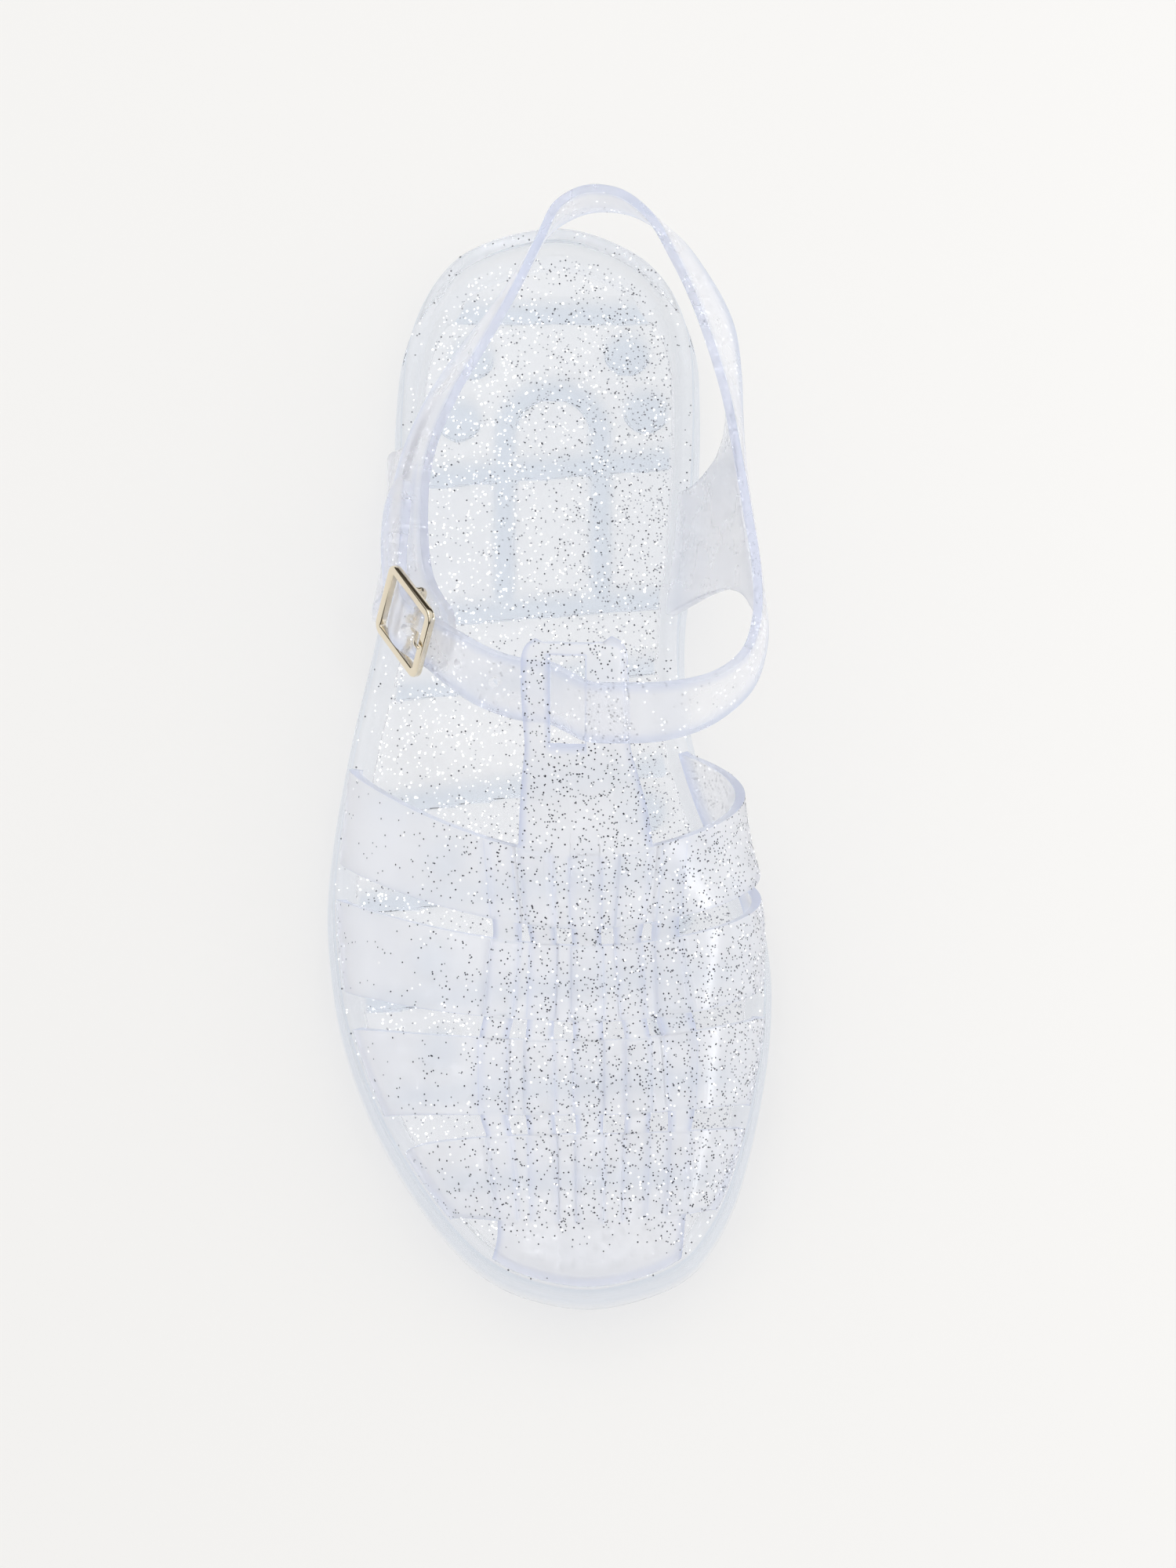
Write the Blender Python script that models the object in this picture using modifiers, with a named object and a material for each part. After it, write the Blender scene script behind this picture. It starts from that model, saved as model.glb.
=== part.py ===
"""Right fisherman jelly sandal: a moulded sole, a woven cage upper, an ankle strap and a small square buckle.

Tables are in millimetres. A station t is measured from the back of the heel towards the toe,
x is positive to the medial side and z is up from the floor. The scene is in metres with the
toe towards -Y, and its origin is the middle of the floor under the shoe.
"""
import math

import bmesh
import bpy
import numpy as np
from mathutils import Matrix, Vector

MM = 0.001
GAP = 0.3

# Sole
RING_POINTS = 72
BED_COLUMNS = 8
# Rearmost and foremost points of the outline: (x, t)
HEEL_TIP = (2.0, -1.2)
TOE_TIP = (8.8, 258.4)
MIDDLE_T = (HEEL_TIP[1] + TOE_TIP[1]) / 2
# (t, lateral x, medial x)
OUTLINE = (
    (4.5, -19.6, 19.3),
    (13.0, -28.0, 28.3),
    (27.5, -34.1, 34.0),
    (44.0, -36.0, 35.0),
    (60.0, -36.1, 34.6),
    (80.0, -36.7, 33.2),
    (99.3, -39.9, 31.2),
    (113.8, -42.9, 31.4),
    (126.0, -45.4, 33.0),
    (144.7, -48.6, 38.8),
    (163.4, -50.4, 47.4),
    (178.7, -49.6, 50.2),
    (195.0, -46.8, 50.0),
    (215.4, -39.5, 46.8),
    (233.8, -29.2, 41.8),
    (243.0, -22.4, 37.4),
    (250.5, -14.8, 31.7),
    (255.3, -6.5, 23.2),
)
# (t, underside z, footbed z, rim z)
LEVELS = (
    (-1.2, 1.2, 15.6, 19.0),
    (12.0, 0.0, 14.9, 18.6),
    (40.0, 0.0, 14.4, 18.2),
    (80.0, 0.0, 14.2, 17.8),
    (100.0, 1.6, 13.8, 17.4),
    (122.0, 2.6, 13.0, 16.8),
    (146.0, 0.6, 11.9, 15.8),
    (160.0, 0.0, 11.4, 15.2),
    (205.0, 0.0, 11.2, 15.0),
    (225.0, 1.0, 11.8, 15.4),
    (243.0, 3.0, 13.3, 16.7),
    (258.4, 6.0, 15.4, 18.6),
)
UNDER, BED, RIM = 1, 2, 3
# Side profile of the sole, from under the edge round to the footbed: (inset, level column, rise)
SIDE_PROFILE = (
    (1.3, UNDER, 0.0),
    (0.0, UNDER, 1.2),
    (0.0, UNDER, 7.6),
    (1.2, UNDER, 8.2),
    (1.5, RIM, -1.1),
    (2.3, RIM, 0.0),
    (4.6, RIM, 0.0),
    (5.6, BED, 0.5),
    (7.0, BED, 0.0),
)
# Underside ring and the wall of the hollow behind it: (inset, rise from the underside)
HOLLOW_PROFILE = ((5.6, 0.0), (6.4, 5.2))
HOLLOW_DEPTH = 5.2
BED_DIP = 0.9
# Ribs stop this far above the underside, reach this far into the ceiling, and start this far in from the outline
RIB_RISE = 0.3
RIB_SINK = 1.0
PEG_SINK = 1.2
RIB_INSET = 4.4
# Extra lift of the underside on the medial side of the waist: height, and where it starts, is whole and spreads
ARCH_LIFT = 1.6
ARCH_START_X = 5.0
ARCH_WIDTH = 30.0
ARCH_STATION = 118.0
ARCH_SPREAD = 16.0
# Cross ribs that stand in the hollow: (name, t at the lateral end, t at the medial end, width)
CROSS_RIBS = (
    ("heel", 16.0, 16.0, 5.0),
    ("waist_rear", 58.0, 52.0, 5.0),
    ("waist_front", 93.0, 87.0, 5.0),
    ("shank", 112.0, 104.0, 4.0),
    ("ball_rear", 140.0, 128.0, 4.5),
    ("ball", 163.0, 152.0, 4.5),
    ("tread", 186.0, 177.0, 4.5),
    ("toe_rear", 208.0, 202.0, 4.5),
    ("toe", 228.0, 226.0, 4.5),
)
# Round pegs that stand in the hollow: (x, t, diameter)
PEGS = (
    (18.0, 26.5, 10.0),
    (22.4, 41.0, 10.0),
    (-18.5, 27.5, 10.0),
    (-21.4, 43.0, 10.0),
    (-24.0, 151.0, 9.0),
    (22.0, 140.0, 9.0),
    (-27.0, 175.0, 9.0),
    (28.0, 165.0, 9.0),
    (-25.0, 197.0, 9.0),
    (28.0, 190.0, 9.0),
)
HORSESHOE_CENTRE = (0.6, 46.5)
HORSESHOE_RADIUS = 11.2
HORSESHOE_WIDTH = 4.6
HORSESHOE_END = 88.0

# Upper
WALL = 2.2
RELIEF = 0.9
STEP = 0.5
BASE_INSET = 3.4
RIDGE_X = 8.9
# Handles of the band sections: rise of the foot's handle and reach of the ridge's
LATERAL_RISE, MEDIAL_RISE = 0.55, 0.62
LATERAL_REACH, MEDIAL_REACH = 0.52, 0.50
SIDE_COLUMNS = 6
# Rows across one band, as fractions of its width
BAND_ROWS = (0.0, 0.05, 0.35, 0.65, 0.95, 1.0)
# Edges of the cross bands, with the handles of each section's two feet: how far they swell outwards and what share
# of the way to the ridge they lead:
# (name, t lateral, t ridge, t medial, z ridge, swell lateral, swell medial, lead lateral, lead medial)
BAND_EDGES = (
    ("first_rear", 134.0, 170.3, 130.0, 64.3, 6.5, 34.0, 0.19, 0.59),
    ("first_front", 155.7, 184.3, 153.0, 55.6, 2.2, 24.0, 0.28, 0.56),
    ("second_rear", 164.8, 187.3, 160.0, 52.2, 1.8, 16.0, 0.26, 0.60),
    ("second_front", 185.7, 203.1, 183.6, 46.5, 1.7, 3.0, 0.40, 0.54),
    ("third_rear", 195.3, 207.0, 192.5, 45.3, 1.5, 5.2, 0.38, 0.34),
    ("third_front", 215.5, 222.3, 213.2, 39.0, 1.5, 3.2, 0.50, 0.33),
    ("toe_rear", 224.2, 226.2, 218.7, 37.7, 0.8, 3.4, 0.40, 0.43),
    ("toe_front", 239.5, 245.0, 237.5, 30.0, 0.0, 1.0, 0.15, 0.15),
)
# Sides of the lengthwise strips A to E at a band-edge number:
# (edge, A left, A right, B left, B right, C left, C right, D left, D right, E left, E right)
STRIPS = (
    (0.0, -13.5, -8.0, -6.1, 0.6, 5.0, 11.4, 15.6, 22.6, 25.0, 30.0),
    (1.5, -11.4, -5.8, -3.6, 1.9, 5.4, 11.6, 14.4, 20.1, 23.2, 28.1),
    (3.5, -14.5, -8.5, -4.6, 1.2, 5.6, 12.1, 16.9, 21.9, 24.7, 32.0),
    (5.5, -14.1, -8.8, -4.5, 1.6, 6.2, 12.1, 17.1, 22.3, 27.1, 31.6),
    (7.0, -10.7, -6.5, -3.3, 2.2, 6.6, 11.9, 16.6, 21.3, 25.8, 29.9),
)
# Strips B and D lie over the first and third bands, and A, C and E over the second and the toe band
OVER = ((1, 3), (0, 2, 4), (1, 3), (0, 2, 4))
# Toe cap: its foot on the rim from x to x, its rows as fractions of the way down, its two handles, and where the
# outline's toe begins
CAP_BASE = (-11.9, 28.9)
CAP_ROWS = (0.3, 0.6, 0.82, 1.0)
CAP_LEAD = 0.38
CAP_FOOT = (0.0, 0.17, 0.42)
CAP_FROM_T = 225.0
# T-strap, from its root to its rounded top: (t, z, left x, right x)
T_STRAP = (
    (170.3, 64.3, -6.1, 22.6),
    (163.0, 68.9, -5.5, 19.6),
    (157.0, 74.0, -5.1, 18.0),
    (150.4, 79.6, -4.8, 17.4),
    (146.0, 83.3, -5.2, 17.3),
    (140.5, 87.8, -5.6, 17.1),
    (136.5, 90.7, -5.6, 16.9),
    (134.0, 92.3, -5.3, 16.6),
    (132.6, 93.1, -4.4, 15.7),
    (131.7, 93.6, -2.4, 13.6),
)
SLOT_LEFT, SLOT_RIGHT = 0.6, 8.2
SLOT_ROWS = (3, 7)
# How much of the root's curve is gone at the slot
T_FLATTEN = 0.6

# Ankle strap
STRAP_THICK = 2.0
# One ribbon, from its free tail round the foot to the buckle tab:
# (place, x top, t top, z top, x low, t low, z low)
STRAP = (
    ("tail_end", -30.6, 82.5, 71.6, -35.6, 84.0, 62.2),
    ("tail", -31.6, 94.0, 71.6, -36.6, 96.5, 60.6),
    ("rear_bar", -32.2, 106.3, 70.1, -35.0, 113.0, 60.1),
    ("centre_bar", -30.9, 114.5, 74.9, -33.6, 121.2, 64.9),
    ("front_bar", -23.5, 120.8, 77.1, -26.3, 127.5, 67.0),
    ("tab_front", -19.6, 125.0, 82.0, -22.4, 132.4, 71.2),
    ("lateral_front", -12.5, 130.6, 86.2, -14.6, 139.6, 75.8),
    ("behind", -6.0, 133.2, 87.7, -6.0, 143.7, 78.3),
    ("slot_in", 0.2, 134.2, 88.1, 0.2, 144.7, 79.1),
    ("slot", 4.3, 137.2, 90.5, 4.3, 147.4, 81.4),
    ("slot_out", 8.4, 140.0, 92.2, 8.4, 150.3, 83.4),
    ("over", 17.0, 140.2, 91.2, 17.0, 150.4, 82.2),
    ("front", 25.8, 139.4, 89.6, 24.8, 149.2, 80.4),
    ("front_medial", 37.0, 136.0, 87.0, 36.4, 143.4, 76.4),
    ("corner", 43.2, 130.4, 85.4, 44.4, 134.4, 72.6),
    ("corner_rear", 45.8, 121.6, 83.4, 47.6, 123.4, 70.6),
    ("medial_front", 45.8, 109.0, 81.8, 47.0, 110.0, 68.8),
    ("medial", 44.2, 97.0, 80.4, 45.6, 97.4, 67.2),
    ("medial_post", 41.6, 79.0, 78.4, 43.4, 79.0, 65.0),
    ("medial_rear", 39.4, 66.0, 76.6, 42.8, 66.4, 63.4),
    ("heel_medial", 36.6, 55.0, 75.2, 42.6, 55.8, 62.6),
    ("heel_medial_rear", 32.4, 41.8, 73.8, 40.8, 43.0, 62.0),
    ("heel_turn_in", 28.0, 31.6, 73.4, 35.4, 31.4, 61.4),
    ("heel_turn", 22.4, 21.4, 73.4, 27.6, 21.0, 61.2),
    ("back_medial", 15.6, 15.9, 73.4, 18.0, 15.2, 61.2),
    ("back", 8.4, 15.1, 73.4, 8.6, 15.0, 61.2),
    ("back_lateral", 2.2, 18.6, 73.4, 0.4, 19.6, 61.2),
    ("heel_lateral_turn", -1.6, 26.4, 73.4, -5.4, 28.6, 61.4),
    ("heel_lateral", -7.0, 38.6, 73.4, -12.6, 40.0, 62.2),
    ("heel_lateral_front", -13.8, 52.0, 73.6, -21.4, 53.0, 62.8),
    ("lateral_rear", -21.0, 65.6, 74.0, -28.6, 65.6, 62.0),
    ("lateral_post", -26.2, 80.0, 74.4, -33.6, 80.0, 60.6),
    ("lateral", -27.4, 97.0, 74.4, -34.4, 99.0, 59.8),
    ("tab_rear", -25.4, 111.0, 75.2, -29.8, 119.4, 60.6),
    ("tab_end", -19.6, 121.6, 79.4, -23.2, 130.6, 65.8),
)
STRAP_STEPS = 3
STRAP_COLUMNS = 4
# Width of the ribbon's last rows at each end, as a fraction
END_ROUND = (0.45, 0.80, 0.96)
HOLE_DIAMETER = 2.4
# Holes in the free end, as a fraction of the way between two rows of STRAP: (row, fraction)
STRAP_HOLES = ((1, 0.1), (2, 0.1), (5, 0.3), (5, 1.3))
# Slot under the prong, in the buckle's axes: from and to along the strap, and height out from the foot
PRONG_SLOT = (1.4, 8.2)
PRONG_SLOT_LIFT = 4.6
CUT_DEPTH = 2.0
# Posts, from foot to strap: (rise as a fraction, rear edge t, front edge t, lean as a fraction)
MEDIAL_POST = (
    (0.0, 67.0, 97.0, 0.0),
    (0.2, 69.5, 98.6, 0.24),
    (0.45, 70.8, 101.0, 0.52),
    (0.68, 70.2, 105.0, 0.75),
    (0.84, 67.0, 110.5, 0.88),
    (0.94, 61.5, 116.5, 0.95),
    (1.0, 57.0, 120.0, 1.0),
)
LATERAL_POST = (
    (0.0, 57.0, 96.0, 0.0),
    (0.16, 57.4, 96.0, 0.02),
    (0.35, 60.4, 97.4, 0.25),
    (0.58, 62.6, 99.0, 0.55),
    (0.78, 62.0, 101.5, 0.78),
    (0.92, 58.0, 104.5, 0.93),
    (1.0, 53.0, 107.0, 1.0),
)
# Rows of STRAP that a post's head lies between, and how far down the ribbon its head is
MEDIAL_SPAN = (15, 23)
LATERAL_SPAN = (27, 34)
POST_HEAD_SHARE = 0.62
MEDIAL_FOOT_INSET = 3.5
LATERAL_FOOT_INSET = -0.4
POST_ROWS = 12
POST_COLUMNS = 8
POST_FOOT_THICK = 2.6
POST_HEAD_THICK = 1.5
LATERAL_FOOT_RISE = 8.6

# Buckle, in its own axes: along the strap to the front, across it downwards, and out from the foot
TAB_POINT = (-27.2, 116.2, 67.4)
ALONG = (0.463, 0.790, 0.400)
DOWN = (-0.219, 0.540, -0.810)
FRAME_LENGTH = 20.0
FRAME_HEIGHT = 18.6
FRAME_BAR = 2.2
FRAME_THICK = 1.8
FRAME_LIFT = 5.1
CENTRE_BAR_RADIUS = 0.85
CENTRE_BAR_LIFT = 2.2
CENTRE_BAR_REACH = 8.2
PRONG_RADIUS = 0.5
# Prong from its hook behind the centre bar to its tip on the front bar: (along, out)
PRONG = (
    (-1.7, 2.1),
    (-1.5, 3.2),
    (-0.7, 3.8),
    (0.8, 3.9),
    (2.8, 4.0),
    (4.8, 4.6),
    (6.6, 5.9),
    (8.2, 6.7),
    (9.9, 6.7),
)
FRAME_CORNER = 1.5
WINDOW_CORNER = 0.6
FRAME_EDGE = 0.45

PVC_COLOUR = (0.80, 0.84, 0.93, 1.0)
METAL_COLOUR = (0.83, 0.74, 0.55, 1.0)


def clear_scene():
    """Empties the scene of its objects."""
    for obj in list(bpy.data.objects):
        bpy.data.objects.remove(obj, do_unlink=True)


def collection(name):
    """A new collection in the scene."""
    made = bpy.data.collections.new(name)
    bpy.context.scene.collection.children.link(made)
    return made


def material(name, colour, roughness, metallic=0.0, transmission=0.0):
    """A plain Principled material."""
    made = bpy.data.materials.new(name)
    made.use_nodes = True
    shader = made.node_tree.nodes["Principled BSDF"]
    shader.inputs["Base Color"].default_value = colour
    shader.inputs["Roughness"].default_value = roughness
    shader.inputs["Metallic"].default_value = metallic
    shader.inputs["Transmission Weight"].default_value = transmission
    return made


def smooth(knots, values, at):
    """A cubic through the knots: each slope is the mean slope of the two sides."""
    knots = np.asarray(knots, float)
    values = np.asarray(values, float)
    at = np.clip(np.asarray(at, float), knots[0], knots[-1])
    slopes = np.gradient(values, knots, axis=0)
    k = np.clip(np.searchsorted(knots, at, side="right") - 1, 0, len(knots) - 2)
    span = knots[k + 1] - knots[k]
    f = (at - knots[k]) / span
    if values.ndim > 1:
        f = f[..., None]
        span = span[..., None]
    start = values[k] * (1 + 2 * f) * (1 - f) ** 2 + values[k + 1] * f * f * (3 - 2 * f)
    return start + span * (slopes[k] * f * (1 - f) ** 2 - slopes[k + 1] * f * f * (1 - f))


def world(points):
    """Turns (x, t, z) in millimetres into scene metres."""
    points = np.asarray(points, float)
    out = points * MM
    out[..., 1] = (MIDDLE_T - points[..., 1]) * MM
    return out


def mesh_object(name, points, faces, home, look):
    """A smooth-shaded object from (x, t, z) points in millimetres."""
    mesh = bpy.data.meshes.new(name)
    mesh.from_pydata(world(points).tolist(), [], faces)
    obj = bpy.data.objects.new(name, mesh)
    home.objects.link(obj)
    if look is not None:
        mesh.materials.append(look)
    bm = bmesh.new()
    bm.from_mesh(mesh)
    bmesh.ops.recalc_face_normals(bm, faces=bm.faces)
    bm.to_mesh(mesh)
    bm.free()
    return obj


def shade(obj, angle=35.0):
    """Smooth shading with sharp edges past an angle."""
    obj.data.shade_smooth()
    obj.data.set_sharp_from_angle(angle=math.radians(angle))


def boolean(obj, cutter, operation):
    """Adds an exact Boolean with a hidden cutter."""
    modifier = obj.modifiers.new(cutter.name, "BOOLEAN")
    modifier.operation = operation
    modifier.object = cutter
    modifier.solver = "EXACT"
    cutter.hide_render = True
    cutter.display_type = "WIRE"


def level(column, t):
    """Underside, footbed or rim height at a station, eased from row to row so that flat runs stay flat."""
    table = np.array(LEVELS)
    t = np.clip(np.asarray(t, float), table[0, 0], table[-1, 0])
    k = np.clip(np.searchsorted(table[:, 0], t, side="right") - 1, 0, len(table) - 2)
    f = (t - table[k, 0]) / (table[k + 1, 0] - table[k, 0])
    return table[k, column] + (table[k + 1, column] - table[k, column]) * f * f * (3 - 2 * f)


def outline(points):
    """The sole's outline as a closed ring of (x, t): the lateral side to the toe, then back along the medial side."""
    rows = np.array(OUTLINE)
    lateral = np.vstack([HEEL_TIP, rows[:, [1, 0]], TOE_TIP])
    medial = np.vstack([HEEL_TIP, rows[:, [2, 0]], TOE_TIP])
    loop = np.vstack([lateral, medial[-2:0:-1]])
    wrapped = np.vstack([loop[-2:], loop, loop[:3]])
    steps = np.sqrt(np.linalg.norm(np.diff(wrapped, axis=0), axis=1))
    knots = np.concatenate([[0.0], np.cumsum(steps)])
    heel, toe = knots[2], knots[2 + len(lateral) - 1]
    back = knots[2 + len(loop)]
    half = points // 2
    sides = []
    for first, last in ((heel, toe), (toe, back)):
        fine = smooth(knots, wrapped, np.linspace(first, last, 600))
        run = np.concatenate([[0.0], np.cumsum(np.linalg.norm(np.diff(fine, axis=0), axis=1))])
        spots = np.linspace(0.0, run[-1], half + 1)[:-1]
        sides.append(np.column_stack([np.interp(spots, run, fine[:, k]) for k in (0, 1)]))
    return np.vstack(sides)


def inset(ring, distance):
    """Moves a closed ring inwards along its own normals."""
    tangent = np.roll(ring, -1, axis=0) - np.roll(ring, 1, axis=0)
    tangent /= np.linalg.norm(tangent, axis=1)[:, None]
    inward = np.column_stack([tangent[:, 1], -tangent[:, 0]])
    return ring + inward * distance


def side_x(t, side, distance):
    """x on the outline's lateral (-1) or medial (1) side at a station, moved inwards by a distance."""
    ring = inset(outline(400), distance)
    half = ring[:201] if side < 0 else ring[200:][::-1]
    order = np.argsort(half[:, 1])
    return np.interp(t, half[order, 1], half[order, 0])


def arch(x, t):
    """Extra lift under the medial side of the waist."""
    share = np.clip((x - ARCH_START_X) / ARCH_WIDTH, 0.0, 1.0)
    return ARCH_LIFT * share * np.exp(-(((t - ARCH_STATION) / ARCH_SPREAD) ** 2))


def sole_body(home, look):
    """The unit sole: rings round the side profile, closed by a grid for the footbed and one for the hollow."""
    ring = outline(RING_POINTS)
    half = RING_POINTS // 2
    loops = []
    for distance, rise in reversed(HOLLOW_PROFILE):
        flat = inset(ring, distance)
        z = level(UNDER, flat[:, 1]) + rise + arch(flat[:, 0], flat[:, 1])
        loops.append(np.column_stack([flat, z]))
    for distance, column, rise in SIDE_PROFILE:
        flat = inset(ring, distance)
        z = level(column, flat[:, 1]) + rise
        if column == UNDER and rise < 2.0:
            z = z + arch(flat[:, 0], flat[:, 1])
        loops.append(np.column_stack([flat, z]))
    points = np.vstack(loops)
    faces = []
    for k in range(len(loops) - 1):
        for i in range(RING_POINTS):
            j = (i + 1) % RING_POINTS
            low, high = k * RING_POINTS, (k + 1) * RING_POINTS
            faces.append((low + i, low + j, high + j, high + i))

    def fill(start, edge, height):
        """Closes a ring with rows of quads between its two sides, and a fan at each tip."""
        nonlocal points
        rows = []
        for i in range(1, half):
            a, b = edge[i], edge[RING_POINTS - i]
            f = np.linspace(0.0, 1.0, BED_COLUMNS + 1)[1:-1]
            inner = a[None, :2] * (1 - f[:, None]) + b[None, :2] * f[:, None]
            z = height(inner, f)
            first = len(points)
            points = np.vstack([points, np.column_stack([inner, z])])
            rows.append([start + i, *range(first, first + len(f)), start + RING_POINTS - i])
        for upper_row, lower_row in zip(rows[:-1], rows[1:]):
            for c in range(BED_COLUMNS):
                faces.append((upper_row[c], upper_row[c + 1], lower_row[c + 1], lower_row[c]))
        for tip, row in ((start, rows[0]), (start + half, rows[-1])):
            for c in range(BED_COLUMNS):
                faces.append((tip, row[c], row[c + 1]))

    def bed_height(inner, f):
        """The footbed dips a little between its edges."""
        return level(BED, inner[:, 1]) - BED_DIP * 4 * f * (1 - f)

    def hollow_height(inner, _):
        """The ceiling of the hollow."""
        return level(UNDER, inner[:, 1]) + HOLLOW_DEPTH + arch(inner[:, 0], inner[:, 1])

    fill(0, loops[0], hollow_height)
    fill((len(loops) - 1) * RING_POINTS, loops[-1], bed_height)
    return mesh_object("outsole", points, faces, home, look)


def prism(name, corners, z_low, z_high, home):
    """An upright prism over a ring of (x, t) corners, with heights that may differ at each corner."""
    corners = np.asarray(corners, float)
    n = len(corners)
    low = np.column_stack([corners, np.broadcast_to(z_low, n)])
    high = np.column_stack([corners, np.broadcast_to(z_high, n)])
    faces = [tuple(range(n)), tuple(range(2 * n - 1, n - 1, -1))]
    faces += [(i, (i + 1) % n, n + (i + 1) % n, n + i) for i in range(n)]
    return mesh_object(name, np.vstack([low, high]), faces, home, None)


def strip_prism(name, left, right, home):
    """A rib with a flat top and an underside that follows the sole, between two rows of (x, t) points."""
    left, right = np.asarray(left, float), np.asarray(right, float)
    n = len(left)
    flat = np.vstack([left, right])
    under = level(UNDER, flat[:, 1]) + arch(flat[:, 0], flat[:, 1])
    low = np.column_stack([flat, under + RIB_RISE])
    high = np.column_stack([flat, under + HOLLOW_DEPTH + RIB_SINK])
    points = np.vstack([low, high])
    faces = [(0, n, 3 * n, 2 * n), (n - 1, 2 * n - 1, 4 * n - 1, 3 * n - 1)]
    for i in range(n - 1):
        faces.append((i, i + 1, n + i + 1, n + i))
        faces.append((2 * n + i, 2 * n + i + 1, 3 * n + i + 1, 3 * n + i))
        faces.append((i, i + 1, 2 * n + i + 1, 2 * n + i))
        faces.append((n + i, n + i + 1, 3 * n + i + 1, 3 * n + i))
    return mesh_object(name, points, faces, home, None)


def build_outsole(home, cutters, look):
    """The sole with its ribs, its horseshoe and its pegs joined on in the hollow."""
    sole = sole_body(home, look)
    for name, t_lateral, t_medial, width in CROSS_RIBS:
        ends = []
        for t, side in ((t_lateral, -1), (t_medial, 1)):
            ends.append((float(side_x(t, side, RIB_INSET)), t))
        a, b = np.array(ends[0]), np.array(ends[1])
        f = np.linspace(0.0, 1.0, 5)[:, None]
        middle = a * (1 - f) + b * f
        half = np.array([0.0, width / 2])
        boolean(sole, strip_prism("rib_" + name, middle - half, middle + half, cutters), "UNION")
    angles = np.linspace(math.pi, 2 * math.pi, 13)
    turn = np.column_stack([np.cos(angles), np.sin(angles)])
    centre = np.array(HORSESHOE_CENTRE)
    outer = centre + turn * (HORSESHOE_RADIUS + HORSESHOE_WIDTH / 2)
    inner = centre + turn * (HORSESHOE_RADIUS - HORSESHOE_WIDTH / 2)
    legs = []
    for row in (outer, inner):
        start = np.array([[row[0, 0], HORSESHOE_END]])
        end = np.array([[row[-1, 0], HORSESHOE_END]])
        legs.append(np.vstack([start, row, end]))
    boolean(sole, strip_prism("horseshoe", legs[0], legs[1], cutters), "UNION")
    for k, (x, t, diameter) in enumerate(PEGS):
        angles = np.linspace(0.0, 2 * math.pi, 17)[:-1]
        corners = np.column_stack([x + diameter / 2 * np.cos(angles), t + diameter / 2 * np.sin(angles)])
        under = float(level(UNDER, t))
        peg = prism(f"peg_{k}", corners, under + RIB_RISE, under + HOLLOW_DEPTH + PEG_SINK, cutters)
        boolean(sole, peg, "UNION")
    shade(sole)
    return sole


def normals(points):
    """Unit normals of a grid of points, from the differences along its rows and columns."""
    across = np.gradient(points, axis=1)
    along = np.gradient(points, axis=0)
    n = np.cross(across, along)
    return n / np.maximum(np.linalg.norm(n, axis=2), 1e-9)[..., None]


def level_out(directions):
    """Turns directions at a foot level, so that both skins of the wall end at one height."""
    directions[..., 2] = 0.0
    directions /= np.linalg.norm(directions, axis=-1)[..., None]


def thick_sheet(name, points, directions, out, back, cells, home, look):
    """A wall over the grid cells that are kept: one skin out along the directions, one back, and edges between."""
    rows, columns = points.shape[:2]
    outer = points + directions * out[..., None]
    inner = points - directions * back[..., None]
    number = np.arange(rows * columns).reshape(rows, columns)
    shift = rows * columns
    faces = []
    kept = np.pad(cells, 1)
    for r in range(rows - 1):
        for c in range(columns - 1):
            if not cells[r, c]:
                continue
            ring = (number[r, c], number[r, c + 1], number[r + 1, c + 1], number[r + 1, c])
            faces.append(ring)
            faces.append(tuple(v + shift for v in reversed(ring)))
            beside = (kept[r, c + 1], kept[r + 1, c + 2], kept[r + 2, c + 1], kept[r + 1, c])
            for k, neighbour in enumerate(beside):
                if not neighbour:
                    a, b = ring[k], ring[(k + 1) % 4]
                    faces.append((b, a, a + shift, b + shift))
    every = np.vstack([outer.reshape(-1, 3), inner.reshape(-1, 3)])
    used = sorted({v for face in faces for v in face})
    renumber = {v: k for k, v in enumerate(used)}
    faces = [tuple(renumber[v] for v in face) for face in faces]
    return mesh_object(name, every[used], faces, home, look)


def bezier(a, b, c, d, f):
    """Points of a cubic with four control points."""
    f = np.asarray(f)[:, None]
    return a * (1 - f) ** 3 + 3 * b * f * (1 - f) ** 2 + 3 * c * f * f * (1 - f) + d * f ** 3


def section(edge):
    """The cage's section at a band-edge number: from the lateral rim over the ridge to the medial rim."""
    table = np.array([row[1:] for row in BAND_EDGES])
    row = smooth(np.arange(len(table)), table, np.array([edge]))[0]
    t_lat, t_top, t_med, z_top, swell_lat, swell_med, share_lat, share_med = row
    foot_lat = np.array([float(side_x(t_lat, -1, BASE_INSET)), t_lat, float(level(RIM, t_lat)) + GAP])
    foot_med = np.array([float(side_x(t_med, 1, BASE_INSET)), t_med, float(level(RIM, t_med)) + GAP])
    top = np.array([RIDGE_X, t_top, z_top])
    rise_lat, rise_med = z_top - foot_lat[2], z_top - foot_med[2]
    wide_lat, wide_med = top[0] - foot_lat[0], foot_med[0] - top[0]
    lead_lat = share_lat * (t_top - t_lat)
    lead_med = share_med * (t_top - t_med)
    lateral = bezier(
        foot_lat,
        foot_lat + (-swell_lat, lead_lat, LATERAL_RISE * rise_lat),
        top - (LATERAL_REACH * wide_lat, 0.0, 0.0),
        top,
        np.linspace(0.0, 1.0, 60),
    )
    medial = bezier(
        top,
        top + (MEDIAL_REACH * wide_med, 0.0, 0.0),
        foot_med + (swell_med, lead_med, MEDIAL_RISE * rise_med),
        foot_med,
        np.linspace(0.0, 1.0, 60)[1:],
    )
    return np.vstack([lateral, medial])


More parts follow.
